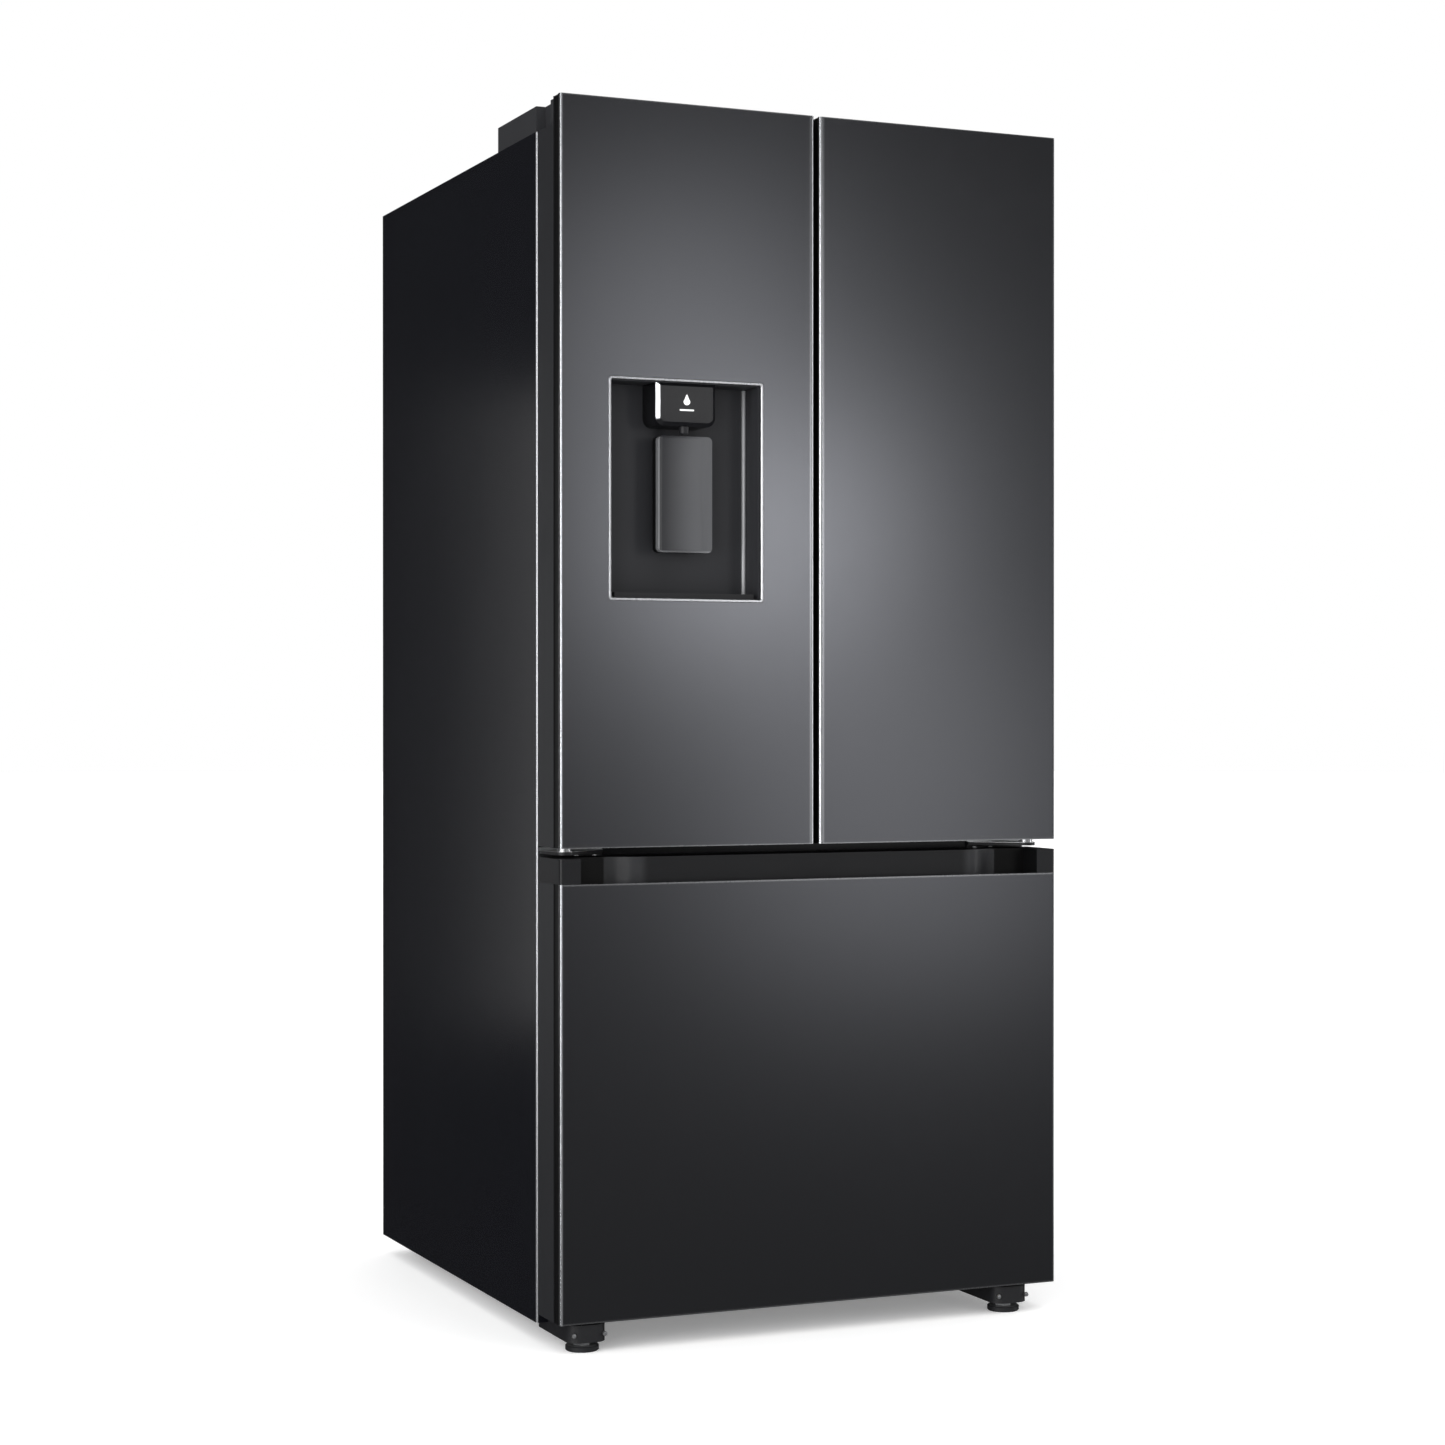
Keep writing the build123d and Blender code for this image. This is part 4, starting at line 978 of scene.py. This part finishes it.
@dataclass
class FrontPanel(Assembly):
    """What the doors and the drawer share: bent steel, a painted body and a seal."""

    seal_width: float = 0.012
    seal_edge: float = 0.004
    black_band: float = 0.0197

    def steel(self, name: str, node: str, left: Bend, right: Bend, rim: float) -> None:
        """Dresses a front steel, with painted highlights and painted shade along its bends.

        Args:
            name: The finish's name.
            node: The steel's node.
            left: The bend at the left edge.
            right: The bend at the right edge.
            rim: Width of the painted highlight along the top and bottom bends.
        """
        low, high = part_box(node)
        # Painted highlight along the top and bottom bends.
        ends = Zone(Axis.Z, low[2] + rim, high[2] - rim, 0.0008, outside=True)
        # Painted highlight or painted shade along the two upright bends.
        first = Zone(Axis.X, low[0] - PAST, low[0] + left.width, left.soft)
        last = Zone(Axis.X, high[0] - right.width, high[0] + PAST, right.soft)
        layers = (Layer(RIM_HIGHLIGHT, (ends,)), Layer(left.finish, (first,)),
                  Layer(right.finish, (last,)))
        self.dress(ZonedFinish(name, BLACK_STEEL, layers), node)

    def body(self, name: str, node: str, gasket: str) -> None:
        """Paints a body dark outside, black behind the steel and white inside the seal.

        Args:
            name: The finish's name.
            node: The body's node.
            gasket: The node of its seal.
        """
        low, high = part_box(node)
        start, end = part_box(gasket)
        band = (Zone(Axis.Y, low[1] - PAST, low[1] + self.black_band),)
        inside = (Zone(Axis.Y, start[1] - 0.0004, high[1] + PAST),
                  Zone(Axis.X, start[0] + self.seal_edge, end[0] - self.seal_edge),
                  Zone(Axis.Z, start[2] + self.seal_edge, end[2] - self.seal_edge))
        layers = (Layer(EDGE_BAND, band), Layer(INNER_WHITE, inside))
        self.dress(ZonedFinish(name, DOOR_BODY, layers), node)

    def seal(self, name: str, gasket: str, body: str) -> None:
        """Folds the magnetic seal round the back.

        Args:
            name: The seal's name.
            gasket: The node that it stands for.
            body: The body it rides on.
        """
        low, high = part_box(gasket)
        bm = bmesh.new()
        mitred_frame(bm, bellows_section(low[1], high[1], self.seal_width), low, high)
        self.place(name, bm, SEAL_GREY, body, (gasket,))


@dataclass
class UpperDoor(FrontPanel):
    """One upper door: skin, body, caps, seal and bins."""

    side: Side = Side.LEFT
    bins: tuple[str, ...] = ()
    rim: float = 0.0014

    def build(self) -> None:
        """Dresses the door and adds its seal and bin rails."""
        door = f"{self.side.value}_door"
        # The left door gets painted highlights on both bends; the right door gets one on its gap
        # bend and painted shade on its right bend.
        bends = (OUTER_BEND, GAP_BEND) if self.side is Side.LEFT else (GAP_BEND, SHADED_BEND)
        self.steel(f"{door}_steel", f"{door}_skin", *bends, self.rim)
        self.body(f"{door}_body", f"{door}_liner", f"{door}_gasket")
        self.dress(CAP_PLASTIC, f"{door}_caps")
        self.dress(FOAM_CREAM, f"{door}_foam")
        self.seal(f"{door}_seal", f"{door}_gasket", door)
        for shelf in self.bins:
            node = f"{self.side.value}_bin_{shelf}"
            self.dress(CLEAR_PLASTIC, node)
            low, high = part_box(node)
            span = (low[0] + 0.014, high[0] - 0.014)
            self.strip(f"{node}_rail", door, span, high[1], high[2] - 0.007)


@dataclass
class Mullion(Assembly):
    """The flap bar that closes the gap between the doors."""

    end: float = 0.03
    edge: float = 0.004

    def build(self) -> None:
        """Dresses the bar."""
        low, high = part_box("mullion_bar")
        strip = (Zone(Axis.Z, low[2] + self.end, high[2] - self.end),
                 Zone(Axis.Y, low[1] + self.edge, high[1] - self.edge))
        bar = ZonedFinish("mullion_finish", DOOR_BODY, (Layer(CAP_PLASTIC, strip),))
        self.dress(bar, "mullion_bar")


@dataclass
class Dispenser(Assembly):
    """The water dispenser in the left door."""

    wall: float = 0.0016
    corner: float = 0.010
    # Width of the pale bead that paints the highlight in the recess's rear corners.
    highlight_bead: float = 0.0058
    lug: tuple[float, float] = (-0.012, 0.004)
    lug_reach: float = 0.012
    lug_height: float = 0.016
    hollow: float = 0.0045
    rim: float = 0.0022
    cuts: int = 20
    lean: float = 0.6
    # Depth behind the paddle's face where the painted shade on its walls begins.
    shade: float = 0.0095
    paddle_depth: float = 0.022
    paddle_corner: float = 0.007
    ears: tuple[float, float] = (-0.020, 0.006)
    ear_width: float = 0.006
    ear_height: float = 0.014
    pin_radius: float = 0.003
    pin_place: tuple[float, float] = (0.006, 0.008)
    spout_edge: float = 0.0058
    spout_corner: float = 0.014
    drop_radius: float = 0.0052
    drop_rise: float = 0.95
    drop_taper: float = 0.55
    line_half: float = 0.011
    line_levels: tuple[float, float] = (0.0095, 0.0072)

    def build(self) -> None:
        """Builds the recess and dresses its fittings."""
        self.dress(BRIGHT_TRIM, "dispenser_bezel")
        self.dress(CAP_PLASTIC, "dispenser_nozzle", "dispenser_drip_tray")
        self.recess()
        self.corner_highlight_beads()
        self.paddle()
        self.spout()
        self.pictogram()

    def recess(self) -> None:
        """Shapes the tub with rounded upright corners."""
        low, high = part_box("dispenser_tub")
        back = high[1] - self.wall
        bm = bmesh.new()
        verts = block(bm, (low[0] + self.wall, low[1], low[2] + self.wall),
                      (high[0] - self.wall, back, high[2] - self.wall))
        rear = [e for e in edges_of(verts, Axis.Z) if e.verts[0].co.y > back - NEAR]
        soften(bm, rear, self.corner, 8)
        front = [f for f in bm.faces if f.normal.y < -0.9]
        bmesh.ops.delete(bm, geom=front, context="FACES_ONLY")
        bmesh.ops.reverse_faces(bm, faces=bm.faces)
        bmesh.ops.solidify(bm, geom=bm.faces[:], thickness=-self.wall)
        bmesh.ops.recalc_face_normals(bm, faces=bm.faces)
        start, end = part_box("dispenser_paddle")
        middle = (start[0] + end[0]) / 2
        soft_block(bm, (middle + self.lug[0], end[1] - self.lug_reach, end[2] - self.lug_height),
                   (middle + self.lug[1], back, end[2]), 0.0015, 3)
        self.place("dispenser_recess", bm, TUB_PLASTIC, "left_door", ("dispenser_tub",))

    def corner_highlight_beads(self) -> None:
        """Runs a slim pale bead down both rear corners of the recess, a painted highlight where
        the corners catch the light.
        """
        low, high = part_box("dispenser_tub")
        start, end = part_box("dispenser_bezel")
        back = high[1] - 2 * self.wall
        bm = bmesh.new()
        for x in (low[0] + 2 * self.wall, high[0] - 2 * self.wall - self.highlight_bead):
            soft_block(bm, (x, back - self.highlight_bead, start[2] + 0.006),
                       (x + self.highlight_bead, back, end[2] - 0.006), 0.0006,
                       axis=Axis.Z, corner=self.highlight_bead * 0.45)
        self.place("dispenser_corner_highlight_beads", bm, CORNER_HIGHLIGHT_BEAD, "left_door")

    def paddle(self) -> None:
        """Shapes the hollow-faced paddle with its rim, its ears and its pin."""
        low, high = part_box("dispenser_paddle")
        middle, half = (low[0] + high[0]) / 2, (high[0] - low[0]) / 2
        rear = low[1] + self.paddle_depth
        bm = bmesh.new()
        verts = block(bm, low, (high[0], rear, high[2]))
        soften(bm, edges_of(verts, Axis.Y), self.paddle_corner, 6)
        front = [f for f in bm.faces if f.normal.y < -0.9]
        bmesh.ops.inset_region(bm, faces=front, thickness=self.rim, depth=0.0)
        for step in range(1, self.cuts):
            cut = Vector((low[0] + self.rim + (half - self.rim) * 2 * step / self.cuts, 0, 0))
            whole = bm.faces[:] + bm.edges[:] + bm.verts[:]
            bmesh.ops.bisect_plane(bm, geom=whole, plane_co=cut, plane_no=(1, 0, 0))
        for v in bm.verts:
            away = (v.co.x - middle) / (half - self.rim)
            in_face = v.co.y < low[1] + NEAR and low[2] + 0.001 < v.co.z < high[2] - 0.001
            if in_face and abs(away) < 0.995:
                v.co.y += self.hollow * math.sin(math.pi * ((1 + away) / 2) ** self.lean)
        for x in self.ears:
            soft_block(bm, (middle + x, rear - 0.001, high[2] - self.ear_height),
                       (middle + x + self.ear_width, high[1], high[2] - 0.002), 0.0008)
        first, last = self.ears[0], self.ears[1] + self.ear_width
        centre = Vector((middle + (first + last) / 2, high[1] - self.pin_place[0],
                         high[2] - self.pin_place[1]))
        turn = Matrix.Rotation(math.pi / 2, 4, "Y")
        bmesh.ops.create_cone(bm, cap_ends=True, segments=24, radius1=self.pin_radius,
                              radius2=self.pin_radius, depth=last - first,
                              matrix=Matrix.Translation(centre) @ turn)
        finish = self.paddle_light_and_shade(low, high)
        self.place("dispenser_lever", bm, finish, "paddle", ("dispenser_paddle",))

    def paddle_light_and_shade(self, low: Point, high: Point) -> ZonedFinish:
        """Gives the paddle's finish.

        Args:
            low: Its lowest corner.
            high: Its highest corner.

        Returns:
            A finish with painted light on the right half, a painted highlight on the rim and foot,
            and painted shade on the walls.
        """
        # Painted shade on the walls, a painted highlight on the left rim and the foot, painted
        # light on the right half.
        wall = Zone(Axis.Y, low[1] + self.shade, high[1] + FAR_PAST, 0.0012)
        near = Zone(Axis.Y, low[1] - FAR_PAST, low[1] + self.shade, 0.0012)
        rim = Zone(Axis.X, low[0] - FAR_PAST, low[0] + self.rim, 0.0008)
        foot = Zone(Axis.Z, low[2] - FAR_PAST, low[2] + self.rim, 0.0010)
        lit = Zone(Axis.X, (low[0] + high[0]) / 2 - 0.008, high[0] + FAR_PAST, 0.030)
        layers = (Layer(PADDLE_LIT_HALF, (lit,)), Layer(PADDLE_WALL_SHADE, (wall,)),
                  Layer(PADDLE_RIM_HIGHLIGHT, (rim, near)), Layer(PADDLE_RIM_HIGHLIGHT, (foot, near)))
        return ZonedFinish("paddle_light_and_shade", PADDLE_GREY, layers)

    def spout(self) -> None:
        """Rounds the glossy housing over the nozzle, with a painted highlight on its left chamfer.
        """
        low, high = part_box("dispenser_spout_cover")
        bm = bmesh.new()
        verts = block(bm, low, high)
        foot = [e for e in edges_of(verts, Axis.Y) if e.verts[0].co.z < low[2] + NEAR]
        soften(bm, foot, self.spout_corner, 8)
        outline = [e for e in bm.edges if max(v.co.y for v in e.verts) < low[1] + NEAR]
        soften(bm, outline, self.spout_edge, 1)
        # Painted highlight on the left chamfer, in the outer bend's pale metal.
        highlight_width = self.spout_edge * 0.92
        edge = (Zone(Axis.X, low[0] - PAST, low[0] + highlight_width),
                Zone(Axis.Y, low[1] - PAST, low[1] + highlight_width),
                Zone(Axis.Z, low[2] + 0.010, high[2] + PAST, 0.002))
        finish = ZonedFinish("spout_painted_highlight", GLOSS_BLACK, (Layer(BEND_HIGHLIGHT, edge),))
        self.place("dispenser_spout", bm, finish, "left_door", ("dispenser_spout_cover",))

    def pictogram(self) -> None:
        """Prints a plain water drop over a short line on the housing."""
        low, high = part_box("dispenser_spout_cover")
        x, y, z = (low[0] + high[0]) / 2, low[1], (low[2] + high[2]) / 2
        bm = bmesh.new()
        bmesh.ops.create_circle(bm, cap_ends=True, segments=40, radius=self.drop_radius)
        for v in bm.verts:
            rise = max(v.co.y, 0.0) / self.drop_radius
            v.co.y += self.drop_radius * self.drop_rise * rise ** 2
            v.co.x *= 1 - self.drop_taper * rise
        place = Matrix.Translation((x, y + 0.0001, z + 0.004))
        upright = place @ Matrix.Rotation(math.pi / 2, 4, "X")
        bmesh.ops.transform(bm, matrix=upright, verts=bm.verts)
        pushed = bmesh.ops.extrude_face_region(bm, geom=bm.faces[:])["geom"]
        face = [g for g in pushed if isinstance(g, BMVert)]
        bmesh.ops.translate(bm, vec=(0, -0.0004, 0), verts=face)
        bmesh.ops.recalc_face_normals(bm, faces=bm.faces)
        soft_block(bm, (x - self.line_half, y - 0.0003, z - self.line_levels[0]),
                   (x + self.line_half, y + 0.0001, z - self.line_levels[1]), 0.0001, 1)
        self.place("dispenser_pictogram", bm, PRINT_WHITE, "left_door")


@dataclass
class FreezerDrawer(FrontPanel):
    """The freezer drawer: skin, handle pocket, seal, baskets and slides."""

    rim: float = 0.0022
    # X spans of the painted highlight on the pocket's curves and of the painted shade in its deep
    # ends.
    lit_curves: tuple[float, float] = (0.262, 0.318)
    deep: tuple[float, float] = (0.318, 0.3687)

    def build(self) -> None:
        """Dresses the drawer and adds its seal."""
        # Painted highlight on the drawer's left bend, painted shade on its right bend.
        self.steel("drawer_steel", "drawer_skin", OUTER_BEND, SHADED_BEND, self.rim)
        self.body("drawer_body", "drawer_liner", "drawer_gasket")
        self.dress(self.handle_finish(), "drawer_handle")
        self.dress(FOAM_CREAM, "drawer_foam")
        self.dress(CLEAR_PLASTIC, "upper_basket", "lower_basket")
        self.dress(ZINC, "slide_inner_members", "slide_middle_members", "slide_outer_members")
        self.seal("drawer_seal", "drawer_gasket", "freezer_drawer")

    def handle_finish(self) -> ZonedFinish:
        """Gives the handle pocket's finish.

        Returns:
            A finish with a painted highlight on both curves and painted shade at the deep ends.
        """
        low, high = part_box("drawer_handle")
        inside = Zone(Axis.Y, low[1] + 0.003, high[1])
        # Painted highlight on the curves, painted shade in the deep ends, on both sides.
        parts = ((HANDLE_CURVE_HIGHLIGHT, self.lit_curves, 0.010), (HANDLE_DEEP_SHADE, self.deep, 0.0006))
        layers = []
        for side in (-1, 1):
            for finish, span, soft in parts:
                ends = sorted(side * x for x in span)
                layers.append(Layer(finish, (Zone(Axis.X, *ends, soft), inside)))
        return ZonedFinish("handle_pocket_light_and_shade", HANDLE_PLASTIC, tuple(layers))


@dataclass
class Hardware(Assembly):
    """Hinges and their covers, screws, feet and rollers."""

    pad_top: float = 0.0081
    washer: float = 0.7085
    plug_radius: float = 0.007
    plug_inset: float = 0.022
    rivet_reach: float = 0.0235
    rivet_level: float = 0.0265
    rivet_radius: float = 0.0036
    rivet_height: float = 0.0022

    def build(self) -> None:
        """Dresses the hardware and adds the cover plugs."""
        self.dress(HINGE_STEEL, "top_hinges")
        washer = Layer(ZINC, (Zone(Axis.Z, self.washer, 1.0),))
        self.dress(ZonedFinish("middle_hinge_finish", HINGE_STEEL, (washer,)), "middle_hinges")
        self.dress(COVER_PLASTIC, "top_hinge_covers")
        self.dress(ZINC, "hinge_screws")
        self.dress(CAP_PLASTIC, "leg_brackets")
        stud = Layer(ZINC, (Zone(Axis.Z, self.pad_top, 1.0),))
        self.dress(ZonedFinish("foot_finish", CAP_PLASTIC, (stud,)), "foot_left", "foot_right")
        self.dress(ROLLER_PLASTIC, "rear_roller_left", "rear_roller_right")
        self.cover_plugs()
        self.bracket_glint_rivets()

    def cover_plugs(self) -> None:
        """Presses round plugs over the screws of both hinge covers."""
        low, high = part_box("top_hinge_covers")
        bm = bmesh.new()
        for x in (low[0] + self.plug_inset, high[0] - self.plug_inset):
            for y in (low[1] + self.plug_inset * 2, high[1] - self.plug_inset):
                part = bmesh.new()
                bmesh.ops.create_cone(part, cap_ends=True, segments=32,
                                      radius1=self.plug_radius,
                                      radius2=self.plug_radius * 0.94, depth=0.0008)
                top = [f for f in part.faces if f.normal.z > 0.9]
                bmesh.ops.inset_region(part, faces=top, thickness=self.plug_radius * 0.25,
                                       depth=-0.0002)
                bmesh.ops.translate(part, verts=part.verts, vec=(x, y, high[2]))
                join(bm, part)
        self.place("hinge_cover_plugs", bm, CAP_PLASTIC, "cabinet")

    def bracket_glint_rivets(self) -> None:
        """Sets a bright rivet into the front of each leg bracket, on both sides of its foot, as a
        painted glint where the bracket's rounded edges catch the light.
        """
        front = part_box("leg_brackets")[0][1]
        bm = bmesh.new()
        for node in ("foot_left", "foot_right"):
            low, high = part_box(node)
            middle = (low[0] + high[0]) / 2
            for x in (middle - self.rivet_reach, middle + self.rivet_reach):
                centre = (x, front, self.rivet_level)
                screw_head(bm, centre, self.rivet_radius, self.rivet_height, Vector((0, -1, 0)))
        self.place("bracket_glint_rivets", bm, ZINC, "cabinet")


@dataclass
class MachineSpace(Assembly):
    """Compressor, condenser and fan behind the rear cover."""

    def build(self) -> None:
        """Dresses the machines."""
        self.dress(COMPRESSOR_BLACK, "compressor")
        self.dress(COIL_BLACK, "condenser_coil")
        self.dress(CAP_PLASTIC, "condenser_fan")


# ------------------------------------------------------------------ studio


@dataclass(frozen=True)
class SoftLight:
    """A rectangular light that the camera doesn't see.

    Attributes:
        name: The light's name.
        place: Its middle.
        aim: The point it faces.
        width: Its width.
        height: Its height.
        watts: Its power.
    """

    name: str
    place: Point
    aim: Point
    width: float
    height: float
    watts: float


@dataclass
class Studio:
    """The pale floor, the soft lights, the surroundings and the camera."""

    shop: FinishShop
    eye: Point = (-1.7883, -4.1904, 0.9054)
    pitch: float = math.radians(90 - 0.181)
    heading: float = math.radians(-23.53)
    lens: float = 70.94
    film: float = 36.0
    floor_radius: float = 40.0
    fill: float = 1.20
    front_dim: float = 0.11
    rear_dim: float = 0.03
    left_glow: float = 0.38
    lights: tuple[SoftLight, ...] = field(default_factory=lambda: (
        SoftLight("key", (1.60, -4.19, 1.43), (-0.09, -0.43, 1.17), 0.6, 0.54, 7.0),
        SoftLight("low_key", (2.02, -4.19, 0.62), (0.11, -0.43, 0.73), 0.9, 0.9, 4.0),
        SoftLight("high_key", (1.33, -4.19, 2.06), (-0.22, -0.43, 1.48), 0.6, 0.6, 2.5),
        SoftLight("left_strip", (-3.9, -2.1, 1.1), (-0.4, -0.4, 0.9), 0.5, 3.0, 70.0),
        SoftLight("near_left", (-3.0, -4.1, 1.3), (-0.2, -0.4, 0.9), 0.9, 2.2, 36.0),
        SoftLight("right_strip", (3.6, -1.5, 1.1), (0.4, -0.4, 0.9), 1.0, 3.0, 40.0),
        SoftLight("side_glow", (-1.79, 3.0, 0.92), (-0.4, -0.5, 0.92), 0.22, 1.7, 1.9),
    ))

    def build(self) -> None:
        """Builds the whole studio."""
        self.floor()
        self.surroundings()
        for light in self.lights:
            self.soft_light(light)
        self.camera()

    def floor(self) -> None:
        """Lays a wide pale floor under the feet."""
        bm = bmesh.new()
        bmesh.ops.create_circle(bm, cap_ends=True, segments=96, radius=self.floor_radius)
        mesh = bpy.data.meshes.new("studio_floor")
        bm.to_mesh(mesh)
        bm.free()
        mesh.materials.append(self.shop.material(FLOOR_PALE))
        floor = hang("studio_floor", mesh)
        floor.visible_glossy = False

    def surroundings(self) -> None:
        """Sets pale surroundings whose reflection is dim, as a studio's flags make it."""
        world = bpy.data.worlds.new("studio_world")
        world.use_nodes = True
        bpy.context.scene.world = world
        sheet = Sheet(world.node_tree)
        path = sheet.put("ShaderNodeLightPath", {}, {}).outputs
        towards = sheet.put("ShaderNodeTexCoord", {}, {}).outputs["Generated"]
        parts = sheet.parts(towards)
        front = sheet.mix_value(sheet.ramp(parts[0], 0.0, 0.2), self.left_glow, self.front_dim)
        seen = sheet.mix_value(sheet.ramp(parts[1], -0.3, 0.5), front, self.rear_dim)
        dim = sheet.mix_value(path["Is Glossy Ray"], self.fill, seen)
        strength = sheet.mix_value(path["Is Camera Ray"], dim, 1.0)
        back = world.node_tree.nodes["Background"]
        back.inputs["Color"].default_value = (1.0, 1.0, 1.0, 1)
        sheet.feed(back.inputs["Strength"], strength)

    def soft_light(self, light: SoftLight) -> None:
        """Hangs one light.

        Args:
            light: Its place, size and power.
        """
        lamp = bpy.data.lights.new(light.name, "AREA")
        lamp.shape = "RECTANGLE"
        lamp.size = light.width
        lamp.size_y = light.height
        lamp.energy = light.watts
        holder = hang(light.name, lamp)
        holder.location = light.place
        towards = Vector(light.aim) - Vector(light.place)
        holder.rotation_euler = towards.to_track_quat("-Z", "Y").to_euler()
        holder.visible_camera = False

    def camera(self) -> None:
        """Sets up the camera at the usual three-quarter view."""
        view = bpy.data.cameras.new("studio_camera")
        view.lens = self.lens
        view.sensor_width = self.film
        holder = hang("studio_camera", view)
        holder.location = self.eye
        holder.rotation_euler = (self.pitch, 0.0, self.heading)
        bpy.context.scene.camera = holder
        bpy.context.scene.view_settings.view_transform = "Standard"


def main() -> None:
    """Builds every sub-assembly in order and logs each one."""
    logging.basicConfig(level=logging.INFO, format="%(name)s %(message)s")
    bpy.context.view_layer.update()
    shop = FinishShop()
    parts = [
        Cabinet(shop),
        FoodSpace(shop),
        UpperDoor(shop, side=Side.LEFT, bins=("lower", "upper")),
        UpperDoor(shop, side=Side.RIGHT, bins=("lower", "middle", "upper")),
        Mullion(shop),
        Dispenser(shop),
        FreezerDrawer(shop),
        Hardware(shop),
        MachineSpace(shop),
        Studio(shop),
    ]
    for part in parts:
        part.build()
        log.info("built %s", type(part).__name__)


if __name__ == "__main__":
    main()
